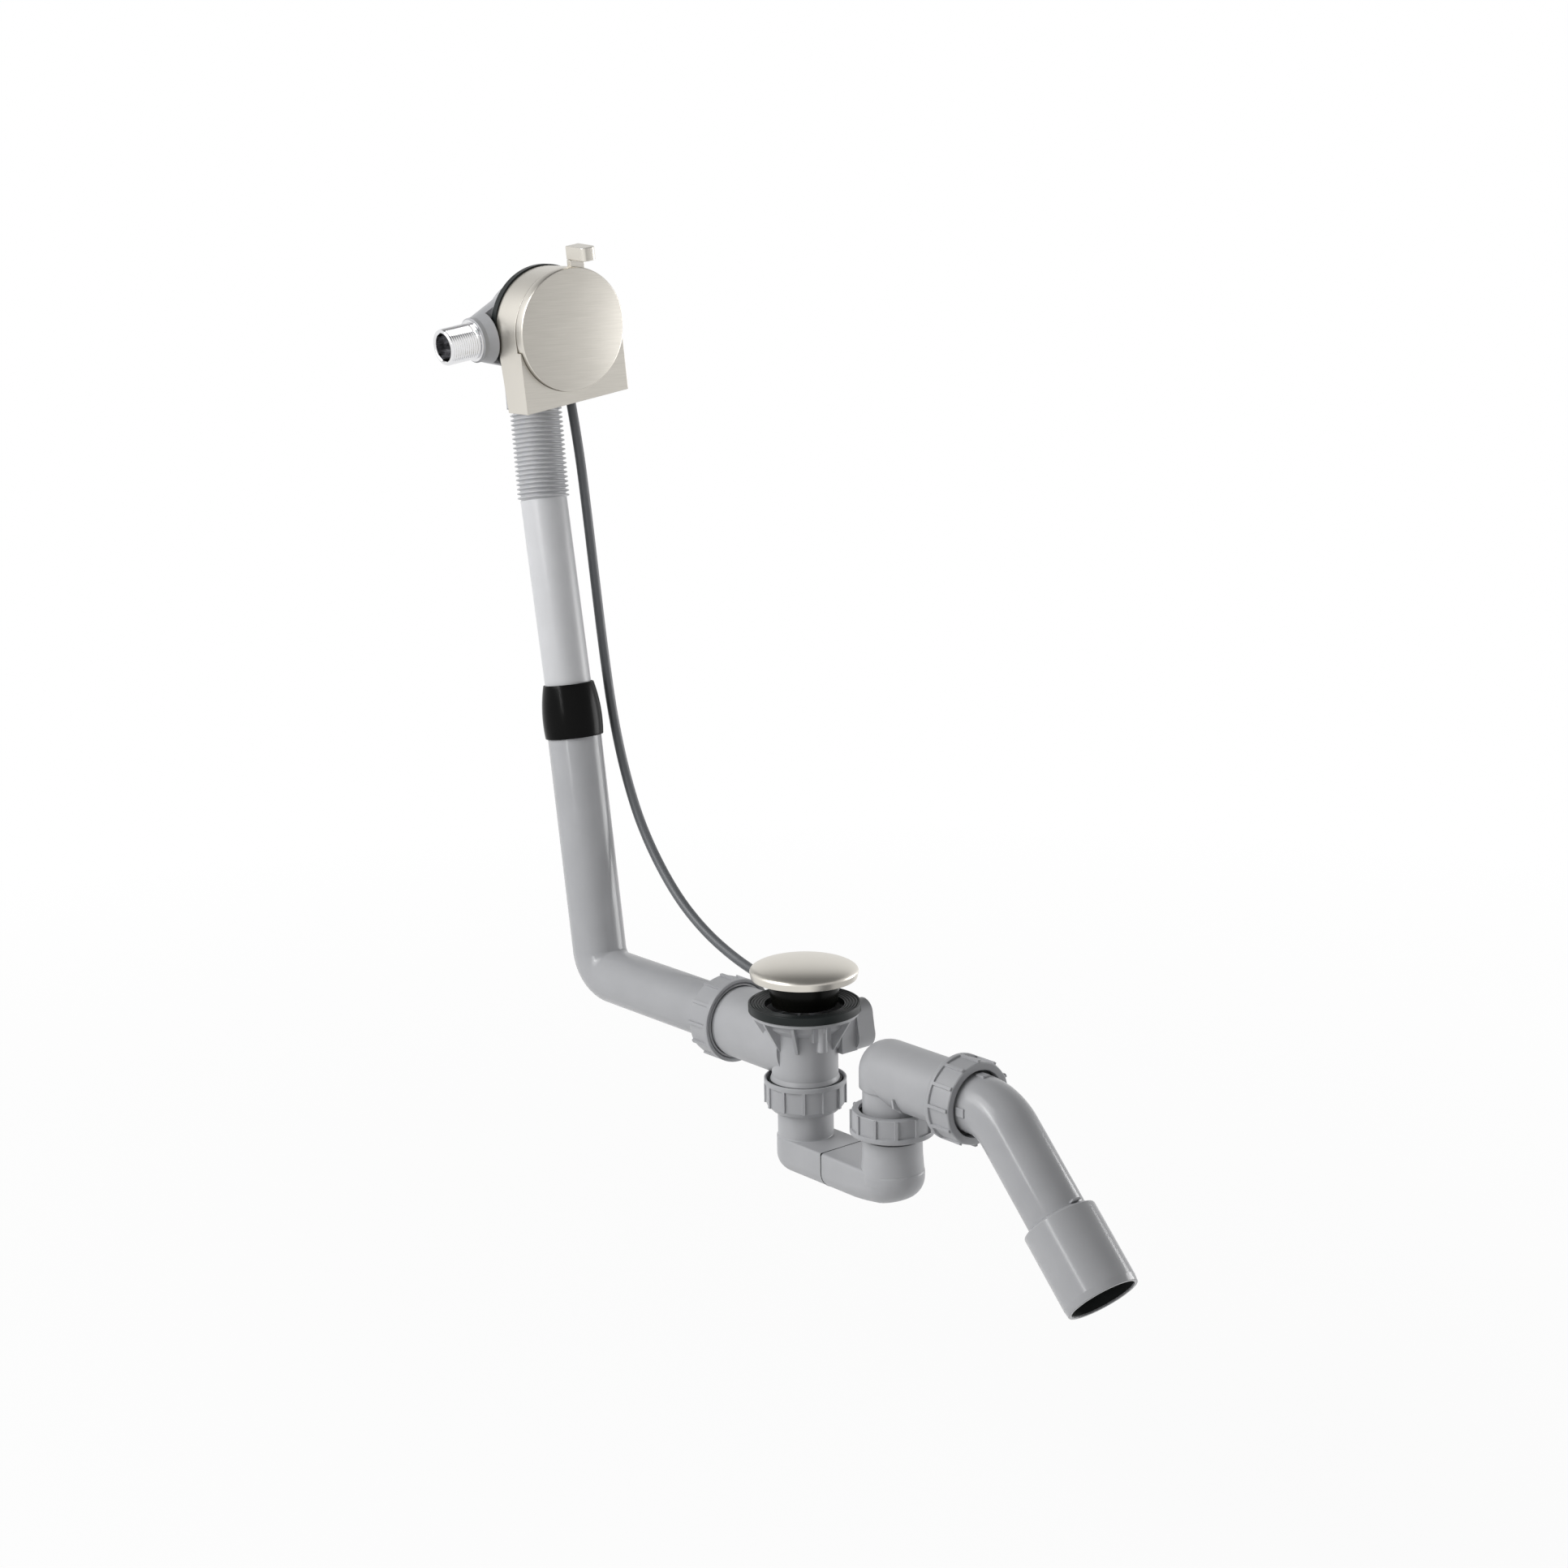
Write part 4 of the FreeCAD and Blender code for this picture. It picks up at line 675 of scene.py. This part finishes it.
# a thin near-black sheet inside the spigot's bore, painted shade
boreShade = {"gap": 0.05, "wall": 0.3, "start": 3.1, "short": 1.2}
tongue = {"width": 7.0, "top": 23.8, "gap": 1.5, "at": -2.2}
keyTabs = {"count": 4, "start": 171.7, "end": 178.8, "width": 6.0, "height": 1.0}


def leaned(degrees):
    return Vector((-math.sin(math.radians(degrees)), 0, math.cos(math.radians(degrees))))


def makeLowerPipe():
    p = pipes["lower"]
    foot = Vector(p["foot"])
    end = foot + leaned(p["lean"]) * p["length"]
    path = bentPath([(p["start"], 0, foot.z), foot, end], [p["bend"]], 3.0)
    dress(pipe("lowerPipe", path, p["radius"], p["radius"] - p["wall"]), "glossyGrey", "body",
          "overflow_elbow")


def makeOutletBend():
    p = pipes["bend"]
    drop, roll = math.radians(p["drop"]), math.radians(p["roll"])
    direction = Vector((math.cos(drop), -math.sin(drop) * math.sin(roll), -math.sin(drop) * math.cos(roll)))
    corner = Vector(p["corner"])
    tip = corner + direction * (p["spigotStart"] + 2)
    path = bentPath([(p["start"], 0, corner.z), corner, tip], [p["bend"]], 3.0)
    walls = pipe("outletBend", path, p["radius"], p["radius"] - p["wall"])
    dress(walls, "glossyGrey", "body", "outlet_bend")
    width = p["spigotEnd"] - p["spigotStart"]
    big, small = p["spigot"], p["radius"] - p["wall"]
    bore = big - p["spigotWall"]
    t = tongue
    half = t["width"] / 2 / (p["radius"] + 2)

    def notched(radius, height, angle):
        inside = abs(angle - math.pi) < half and height < t["at"] + t["gap"] and radius > p["radius"]
        return min(radius, p["radius"] + 1.0) if inside else radius

    rows = [(small, t["at"]), (p["radius"] - 0.1, t["at"]), (p["radius"] + 1.0, t["at"] + 0.5),
            (p["radius"] + 3.2, t["at"] + t["gap"]), (big - 0.4, 0, 0.5), (big, 0.6, 0.4),
            (big, width - 5.0, 1.5), (big - 0.6, width, 0.5), (bore, width, 0.5), (bore, 3.0), (small, 3.0)]
    place = placed(corner + direction * p["spigotStart"], direction)
    edges = [math.pi + s * half * k for s in (-1, 1) for k in (0.995, 1.005)]
    dress(lathe("outletSpigot", rows, place, 144, shape=notched, extra=edges), "glossyGrey", "body",
          "outlet_bend")
    # a sheet just inside the spigot's bore, coloured near black as painted shade where the bore lies in
    # shadow
    outer = bore + boreShade["gap"]
    inner = outer - boreShade["wall"]
    end = width - boreShade["short"]
    rows = [(outer, boreShade["start"]), (outer, end), (inner, end), (inner, boreShade["start"])]
    dress(lathe("spigotBoreShade", rows, place), "paintedBoreShade", "body", "outlet_bend")
    low = t["at"] - t["gap"]
    flap = [(-p["radius"] + 0.5, -t["width"] / 2), (-t["top"], -t["width"] / 2), (-t["top"], t["width"] / 2),
            (-p["radius"] + 0.5, t["width"] / 2)]
    flapPiece = prism("spigotTongue", flap, low, t["at"], place)
    dress(bevelled(flapPiece, 0.45), "glossyGrey", "body", "outlet_bend")
    k = keyTabs
    for i in range(k["count"]):
        turn = Matrix.Translation((0, 0, corner.z)) @ Matrix.Rotation(2 * math.pi * i / k["count"], 4, "X")
        block = [(k["start"], -k["width"] / 2), (k["end"], -k["width"] / 2), (k["end"], k["width"] / 2),
                 (k["start"], k["width"] / 2)]
        tab = prism("keyTab%d" % (i + 1), block, p["radius"] - 1.5, p["radius"] + k["height"], turn)
        dress(bevelled(tab, 0.35), "glossyGrey", "body", "outlet_bend")


def mitred(name, p):
    # each line round the tube turns by its own arc, from none at the inner corner to "round" at the outer
    verts, faces = [], []
    r, sides, turns = p["radius"], 120, 14
    for k in range(sides):
        angle = 2 * math.pi * k / sides
        out, y = r * math.cos(angle), r * math.sin(angle)
        arc = p["round"] * max(0.0, (out / r + 0.3) / 1.3) ** 1.3 + 0.3
        low = min(p["lip"], p["axisZ"] + out - arc - 0.1)
        inward = (p["stub"] - 0.6) / r
        line = [(p["axisX"] - out * inward, y * inward, low), (p["axisX"] - out * 0.985, y * 0.985, low),
                (p["axisX"] - out, y, low + 0.4)]
        for i in range(turns + 1):
            t = math.pi / 2 * i / turns
            line.append((p["axisX"] - out + arc * (1 - math.cos(t)), y,
                         p["axisZ"] + out - arc * (1 - math.sin(t))))
        line += [(p["end"], y, p["axisZ"] + out), (p["end"], y * 0.9, p["axisZ"] + out * 0.9)]
        verts += line
    size = len(verts) // sides
    for k in range(sides):
        a, b = k * size, (k + 1) % sides * size
        faces += [(a + i, b + i, b + i + 1, a + i + 1) for i in range(size - 1)]
        faces.append((a + size - 1, b + size - 1, b, a))
    return meshObject(name, verts, faces, None, 50)


def makeElbow():
    p = pipes["elbow"]
    dress(mitred("outletElbow", p), "greyPlastic", "body", "outlet_elbow")
    rows = [(p["stub"] - p["wall"], p["low"], 0.3), (p["stub"], p["low"], 0.3), (p["stub"], p["axisZ"]),
            (p["stub"] - p["wall"], p["axisZ"])]
    dress(lathe("elbowStub", rows, placed((p["axisX"], 0, 0), (0, 0, 1))), "greyPlastic", "body",
          "outlet_elbow")
    c, f = elbowCollar, elbowFin
    rows = [(c["bore"], 0), (c["radius"], 0, 0.4), (c["radius"], c["length"], 0.6),
            (c["bore"], c["length"], 0.3)]
    place = placed((c["at"], 0, p["axisZ"]), (1, 0, 0))
    dress(lathe("elbowCollar", rows, place), "greyPlastic", "body", "outlet_elbow")
    fin = prism("elbowFin", f["outline"], f["from"], f["to"], Matrix.Identity(4), (1, 2, 0))
    dress(bevelled(fin, 0.3), "greyPlastic", "body", "outlet_elbow")


sleeve = {"low": 178.8, "high": 218.6, "at": 200.0, "radii": (21.6, 22.1, 18.8), "bulge": 1.6, "steps": 14,
          "bore": 20.05, "neckBore": 18.1, "step": 3.6}


def makeSleeve():
    s = sleeve
    height = s["high"] - s["low"]
    low, mid, high = s["radii"]
    rows = [(s["bore"], 0), (low, 0, 0.6)]
    for i in range(1, s["steps"]):
        t = i / s["steps"]
        rows.append((low * (1 - t) ** 2 + 2 * t * (1 - t) * (mid + s["bulge"]) + high * t * t, height * t))
    shoulder = s["at"] - s["low"] - s["step"]
    rows += [(high, height, 0.6), (s["neckBore"], height, 0.3), (s["neckBore"], shoulder),
             (s["bore"], shoulder)]
    foot = Vector(pipes["lower"]["foot"])
    axis = leaned(pipes["lower"]["lean"])
    place = placed(foot + axis * s["low"], axis)
    dress(lathe("slipSleeve", rows, place, 128), "sleeveRubber", "body", "slip_sleeve")


upper = {"radius": 17.2, "wall": 1.8, "lean": 9.8, "insert": 24.0, "length": 155.4, "bellowsLean": 10.4,
         "bellowsSide": 3.3, "pitch": 3.37, "ridges": 24, "tip": 19.2, "root": 16.7, "foldWall": 1.5,
         "foldSides": 112, "weld": 0.01}


def foldRule(material):
    # stacks one fold along Z and welds the folds to each other
    m = Grower("foldStack", {"Fold": "Geometry", "Count": "Int", "Pitch": "Float"})
    step = m.add("ShaderNodeCombineXYZ", None, {2: m.given("Pitch")})
    column = m.add("GeometryNodeMeshLine", None, {"Count": m.given("Count"), "Offset": step})
    stack = m.add("GeometryNodeInstanceOnPoints", None, {"Points": column, "Instance": m.given("Fold")})
    m.finish(stack, material, upper["weld"])
    return m


def makeBellows(place):
    u = upper
    pitch, root, tip = u["pitch"], u["root"], u["tip"]
    corners = [(root, -0.5 * pitch), (root, 0.0, 0.2), (root, 0.25 * pitch, 0.3), (tip, 0.50 * pitch, 0.25),
               (tip, 0.70 * pitch, 0.25), (root, 0.95 * pitch, 0.3), (root, pitch), (root, 1.5 * pitch)]
    wave = [p for p in softened(corners, 3) if -1e-6 <= p.y <= pitch + 1e-6]
    wave[0], wave[-1] = Vector((root, 0.0)), Vector((root, pitch))
    inner = [Vector((root - u["foldWall"], z)) for z in (0.0, pitch)]
    verts, faces = [], []
    segments = u["foldSides"]
    for loop in (wave, inner):
        base, size = len(verts), len(loop)
        for k in range(segments):
            angle = 2 * math.pi * k / segments
            verts += [(p.x * math.cos(angle), p.x * math.sin(angle), p.y) for p in loop]
        for k in range(segments):
            a, b = base + k * size, base + (k + 1) % segments * size
            faces += [(a + i, b + i, b + i + 1, a + i + 1) for i in range(size - 1)]
    data = bpy.data.meshes.new("fold")
    data.from_pydata(verts, [], faces)
    rule = foldRule(materials["foldPlastic"])
    folds = grown("bellows", data, rule, {"Count": u["ridges"], "Pitch": pitch})
    work = bmesh.new()
    work.from_mesh(folds.data)
    for level in (0.0, u["ridges"] * pitch):
        rim = [e for e in work.edges
               if e.is_boundary and all(abs(v.co.z - level) < u["weld"] for v in e.verts)]
        bmesh.ops.bridge_loops(work, edges=rim)
    bmesh.ops.recalc_face_normals(work, faces=work.faces)
    work.transform(Matrix.Scale(mm, 4) @ place)
    work.to_mesh(folds.data)
    work.free()
    folds.data.polygons.foreach_set("use_smooth", [True] * len(folds.data.polygons))
    folds.data.set_sharp_from_angle(angle=math.radians(50))
    return folds


def makeUpperPipe():
    u = upper
    foot = Vector(pipes["lower"]["foot"]) + leaned(pipes["lower"]["lean"]) * sleeve["at"]
    axis = leaned(u["lean"])
    bore, end = u["radius"] - u["wall"], u["length"] + 0.8
    rows = [(bore, -u["insert"]), (u["radius"], -u["insert"], 0.4), (u["radius"], end, 0.4), (bore, end)]
    dress(lathe("upperPipe", rows, placed(foot, axis), 112), "palePlastic", "body", "upper_tube")
    top = foot + axis * u["length"]
    lean, side = math.radians(u["bellowsLean"]), math.radians(u["bellowsSide"])
    ridged = Vector((-math.sin(lean), math.sin(side), 1)).normalized()
    dress(makeBellows(placed(top, ridged)), "foldPlastic", "body", "upper_tube")


trap = {"top": -95.0, "low": -121.5, "round": 13.0, "half": 20.2, "edge": 1.2, "seam": 38.4, "gap": 0.6,
        "dip": 19.4, "dipTop": -68.0, "riser": 89.0, "riserHalf": 22.1, "riserLow": -117.0,
        "riserRound": 17.6, "riserTop": -74.0, "riserEdge": 2.4, "barrel": 20.2, "barrelLow": -104.0,
        "shoulder": -99.0, "neck": -86.0, "wall": 2.6, "proud": 0.12, "rearStops": 11}
riserWasher = {"at": -59.2, "bore": 20.1, "radius": 24.9, "depth": 2.2}


def eased(value):
    value = max(0.0, min(1.0, value))
    return value * value * (3 - 2 * value)


def trapHull(name, seamX, axisX, ahead, half, low, corner, edge):
    # half a section runs along one wall, round the end under the standing pipe and back along the other;
    # towards a wider end it grows from the trap's own half width, floor and corner to the ones given
    t = trap
    share = 0.5 if half > t["half"] else 0.0
    stops = [(seamX + (axisX - seamX) * i / 16, -90.0, eased(share * (i / 8 - 1))) for i in range(17)]
    stops += [(axisX, -90 + 180 * i / 36, eased(share * (2 - abs(i - 18) / 18))) for i in range(1, 36)]
    # the rear wall takes only the first of the front wall's stops and runs straight on to the end
    stops += [(x, 90.0, blend) for x, angle, blend in reversed(stops[:t["rearStops"]])]
    verts, faces = [], []
    for x, angle, blend in stops:
        r = t["half"] + (half - t["half"]) * blend
        z = t["low"] + (low - t["low"]) * blend
        c = t["round"] + (corner - t["round"]) * blend
        line = [(0.0, t["top"]), ((r - edge) * 0.5, t["top"])]
        line += [(r - edge + edge * math.sin(a), t["top"] - edge + edge * math.cos(a))
                 for a in [math.pi / 10 * i for i in range(6)]]
        line += [(r - c + c * math.cos(a), z + c - c * math.sin(a))
                 for a in [math.pi / 24 * i for i in range(13)]]
        line += [(0.0, z)]
        s, k = math.sin(math.radians(angle)), math.cos(math.radians(angle)) * ahead
        verts += [(x + radius * k, radius * s, height) for radius, height in line]
    size, count = len(line), len(stops)
    for a in range(count - 1):
        faces += [(a * size + i, a * size + i + 1, (a + 1) * size + i + 1, (a + 1) * size + i)
                  for i in range(size - 1)]
    faces.append(list(range(size)) + [(count - 1) * size + i for i in range(size - 2, 0, -1)])
    return meshObject(name, verts, faces, None, 40)


def makeTrap():
    t = trap
    up = (0, 0, 1)
    inlet = trapHull("trapInlet", t["seam"], 0.0, -1, t["half"], t["low"], t["round"], t["edge"])
    dress(inlet, "greyPlastic", "body", "trap_inlet")
    bore = t["dip"] - t["wall"]
    rows = [(bore, t["top"] - 0.5), (t["dip"] + 0.5, t["top"] - 0.5), (t["dip"], t["top"] + 0.5, 0.5),
            (t["dip"], t["dipTop"]), (bore, t["dipTop"])]
    dress(lathe("trapDipPipe", rows, placed((0, 0, 0), up)), "greyPlastic", "body", "trap_inlet")
    outlet = trapHull("trapOutlet", t["seam"] + t["gap"], t["riser"], 1, t["riserHalf"], t["riserLow"],
                      t["riserRound"], t["riserEdge"])
    dress(outlet, "greyPlastic", "body", "trap_outlet")
    bore, foot = t["barrel"] - t["wall"], t["barrelLow"]
    rows = [(bore, foot), (t["riserHalf"] - 0.7, foot), (t["riserHalf"] - 0.5, t["shoulder"], 2.0),
            (t["barrel"] + 0.3, t["neck"], 4.0), (t["barrel"], t["riserTop"]), (bore, t["riserTop"])]
    dress(lathe("trapRiser", rows, placed((t["riser"], 0, 0), up)), "greyPlastic", "body", "trap_outlet")


def makeTrapSeam():
    # a cord in the joint of the two halves, a hair proud of them
    t = trap
    half, top, low, corner = t["half"] + t["proud"], t["top"] + t["proud"], t["low"] - t["proud"], t["round"]
    ring = []
    for side, height, r, start in ((1, top, t["edge"], 90), (1, low, corner, 0), (-1, low, corner, -90),
                                   (-1, top, t["edge"], -180)):
        rise = -1 if height == top else 1
        for i in range(9):
            a = math.radians(start - 90 * i / 8)
            ring.append((side * (half - r) + r * math.cos(a), height + rise * r + r * math.sin(a)))
    plate = prism("trapSeam", ring, t["seam"] - 0.05, t["seam"] + t["gap"] + 0.05, Matrix.Identity(4),
                  (1, 2, 0))
    dress(plate, "blackRubber", "body", "trap_seam_seal")
    w = riserWasher
    rows = [(w["bore"], 0), (w["radius"], 0, 0.3), (w["radius"], w["depth"], 0.3), (w["bore"], w["depth"])]
    place = placed((t["riser"], 0, w["at"]), (0, 0, 1))
    dress(lathe("riserWasher", rows, place), "blackRubber", "body", "trap_outlet_washer")


makeTrap()
makeTrapSeam()
makeLowerPipe()
makeOutletBend()
makeElbow()
makeSleeve()
makeUpperPipe()
print("pipes made")

# Overflow head, with its own frame: X out of the face, Y to the right, Z up

head = {"origin": (-245.4, 0.0, 445.8), "roll": 8.5, "yaw": -1.7, "tilt": 4.0}
headTurn = Matrix.Rotation(math.radians(head["yaw"]), 4, "Z")
headTurn = headTurn @ Matrix.Rotation(math.radians(head["roll"]), 4, "X")
headFrame = Matrix.Translation(Vector(head["origin"])) @ headTurn
faceFrame = headFrame @ Matrix.Rotation(math.radians(head["tilt"]), 4, "Y")
ontoX = Matrix(((0, 0, 1, 0), (0, 1, 0, 0), (-1, 0, 0, 0), (0, 0, 0, 1)))

disc = {"radius": 44.4, "depth": 8.0, "edge": 1.0, "rim": 2.5, "hollow": 4.5, "hub": 9.0, "socket": 4.05,
        "socketDepth": 5.8}


def makeDisc():
    d = disc
    r, t = d["radius"], d["depth"]
    inside, deep, socket = r - d["rim"], -t + d["hollow"], -t + d["socketDepth"]
    rows = [(0, 0), (r, 0, d["edge"]), (r, -t, 0.4), (inside, -t, 0.4), (inside, deep), (d["hub"], deep),
            (d["hub"], -t, 0.4), (d["socket"], -t), (d["socket"], socket), (0, socket)]
    dress(lathe("turnDisc", rows, faceFrame @ ontoX, 192), "satinNickel", "knob", "turn_disc")


lever = {"offset": 11.4, "width": 11.7, "top": 58.4, "gripHeight": 9.6, "gripLength": 22.0,
         "stemDepth": 4.6, "stemSunk": 5.5, "rear": -7.2, "corner": 4.0}


def makeLever():
    v = lever
    left, right = v["offset"] - v["width"] / 2, v["offset"] + v["width"] / 2
    low = v["top"] - v["gripHeight"]
    nose = v["rear"] + v["gripLength"]
    c = v["corner"]
    quarter = [i * math.pi / 16 for i in range(9)]
    outline = [(v["rear"], left)]
    outline += [(nose - c + c * math.sin(t), left + c - c * math.cos(t)) for t in quarter]
    outline += [(nose - c + c * math.cos(t), right - c + c * math.sin(t)) for t in quarter]
    outline += [(v["rear"], right)]
    grip = prism("leverGrip", outline, low, v["top"], faceFrame)
    dress(bevelled(grip, 0.5), "satinNickel", "knob", "lever_grip")
    ahead = v["rear"] + v["stemDepth"]
    stem = [(v["rear"], left), (ahead, left), (ahead, right), (v["rear"], right)]
    post = prism("leverStem", stem, disc["radius"] - v["stemSunk"], low - 0.3, faceFrame)
    dress(bevelled(post, 0.35), "satinNickel", "knob", "turn_disc")


nipple = {"depth": -46.5, "level": 1.6, "mouth": 82.0, "radius": 13.2, "bore": 10.0, "seat": 12.7,
          "start": 51.0, "bare": 57.8, "smooth": 59.4, "pitch": 1.81, "thread": 0.55, "threadSides": 96,
          "threadSteps": 10}


def makeNipple():
    n = nipple
    turn = Matrix.Rotation(math.radians(90), 4, "X")
    place = headFrame @ Matrix.Translation((n["depth"], -n["start"], n["level"])) @ turn
    bare, smooth, length = (n[key] - n["start"] for key in ("bare", "smooth", "mouth"))
    root = n["radius"] - n["thread"]
    rows = [(n["bore"], 0), (n["seat"], 0), (n["seat"], bare), (n["radius"], bare, 0.2),
            (n["radius"], smooth, 0.2), (root, smooth + 0.4), (root, length - 0.6, 0.2),
            (root - 0.9, length, 0.2), (n["bore"] + 0.7, length, 0.2), (n["bore"], length - 0.8)]
    dress(lathe("inletNipple", rows, place, 128), "polishedChrome", "body", "inlet_nipple")
    dress(makeThread(smooth + 0.2, length - 0.5, place), "polishedChrome", "body", "inlet_nipple")


def makeThread(low, high, place):
    # a helical wave round the nipple, faded at both ends, closed by a plain ring inside it
    n = nipple
    sides = n["threadSides"]
    count = int((high - low) / n["pitch"] * n["threadSteps"])
    verts, faces = [], []
    for k in range(sides):
        angle = 2 * math.pi * k / sides
        for i in range(count + 1):
            z = low + (high - low) * i / count
            phase = (z / n["pitch"] - k / sides) % 1.0
            wave = min(1.0, (1 - abs(phase * 2 - 1)) * 1.5)
            fade = min(1.0, (z - low) / 0.8, (high - z) / 1.2)
            r = n["radius"] - n["thread"] * ((1 - wave) * 1.15 * max(0.0, fade) + (1 - fade) * 0.9)
            verts.append((r * math.cos(angle), r * math.sin(angle), z))
    wide = count + 1
    for k in range(sides):
        a, b = k * wide, (k + 1) % sides * wide
        faces += [(a + i, b + i, b + i + 1, a + i + 1) for i in range(count)]
    inner = n["radius"] - n["thread"] - 0.8
    first = len(verts)
    for end, height in ((0, low), (count, high)):
        base = len(verts)
        for k in range(sides):
            angle = 2 * math.pi * k / sides
            verts.append((inner * math.cos(angle), inner * math.sin(angle), height))
        faces += [(k * wide + end, (k + 1) % sides * wide + end, base + (k + 1) % sides, base + k)
                  for k in range(sides)]
    faces += [(first + k, first + (k + 1) % sides, first + sides + (k + 1) % sides, first + sides + k)
              for k in range(sides)]
    return meshObject("nippleThread", verts, faces, place, 40)


makeDisc()
makeLever()
makeNipple()
print("head made")

# Floor, world and lamps

stageSizes = {"floor": -0.42, "span": 40.0, "world": 0.19, "glow": 0.93, "near": 0.6, "ceiling": 0.18,
              "ceilingFrom": 0.45, "ceilingRise": 3.2}


def makeFloor():
    s = stageSizes["span"]
    data = bpy.data.meshes.new("floor")
    z = stageSizes["floor"]
    data.from_pydata([(-s, -s, z), (s, -s, z), (s, s, z), (-s, s, z)], [], [(0, 1, 2, 3)])
    obj = linked("floor", data)
    m = Shader(bpy.data.materials.new("paleFloor"))
    diffuse = m.add("ShaderNodeBsdfDiffuse", None, {"Color": rgb(0.92, 0.92, 0.92)})
    glow = m.add("ShaderNodeEmission", None, {"Color": rgb(1, 1, 1), "Strength": 1.0})
    direct = m.add("ShaderNodeLightPath")
    glossy, through = m.another("Is Glossy Ray"), m.another("Is Transmission Ray")
    far = m.add("ShaderNodeVectorMath", {"operation": "LENGTH"}, {0: m.place()}, out=1)
    share = ((far - stageSizes["near"]) * 0.6).clamped() * (1.0 - stageSizes["glow"]) + stageSizes["glow"]
    seen = (direct + glossy + through).clamped() * share
    surface = m.add("ShaderNodeMixShader", None, {0: seen, 1: diffuse, 2: glow})
    data.materials.append(m.finish(surface))


def makeWorld():
    # white to the camera and to glass; gloss sees a white room under a darker ceiling
    m = Shader(bpy.data.worlds.new("softStudio"))
    direct = m.add("ShaderNodeLightPath")
    glossy, through = m.another("Is Glossy Ray"), m.another("Is Transmission Ray")
    m.add("ShaderNodeTexCoord")
    height = m.add("ShaderNodeSeparateXYZ", None, {"Vector": m.another("Generated")}, out=2)
    rise = ((height - stageSizes["ceilingFrom"]) * stageSizes["ceilingRise"]).clamped()
    room = 1.0 - rise * (1.0 - stageSizes["ceiling"])
    seen = (direct + through).clamped() + glossy * room
    plain = 1.0 - (direct + through + glossy).clamped()
    strength = seen + plain * stageSizes["world"]
    back = m.add("ShaderNodeBackground", None, {"Color": rgb(1, 1, 1), "Strength": strength})
    bpy.context.scene.world = m.finish(back, "ShaderNodeOutputWorld")


lamps = {
    "keyPanel": {"spot": (-0.67, -1.75, 1.5), "aim": (-0.05, 0, 0.1), "size": (1.4, 1.4), "power": 29.0},
    "backPanel": {"spot": (0.65, 2.05, 0.1), "aim": (0, 0, 0.1), "size": (1.0, 1.0), "power": 18.0},
    "stripLamp": {"spot": (-0.044, -1.75, 0.85), "aim": (0.25, 0, -0.06), "size": (0.07, 1.4), "power": 10.0,
                  "along": (0.71, -0.03, -0.70)},
    "discPanel": {"spot": (0.75, 1.25, 0.2), "aim": (-0.24, 0, 0.45), "size": (0.5, 0.5), "power": 0.3},
}


def makeLamps():
    for name, lamp in lamps.items():
        data = bpy.data.lights.new(name, "AREA")
        data.shape = "RECTANGLE"
        data.size, data.size_y = lamp["size"]
        data.energy = lamp["power"]
        obj = linked(name, data)
        back = (Vector(lamp["spot"]) - Vector(lamp["aim"])).normalized()
        across = Vector(lamp.get("along", (0, 0, 1))).cross(back).normalized()
        turn = Matrix((across, back.cross(across), back)).transposed().to_4x4()
        obj.matrix_world = Matrix.Translation(lamp["spot"]) @ turn


makeFloor()
makeWorld()
makeLamps()
bpy.context.scene.view_settings.view_transform = "Standard"
print("stage set")
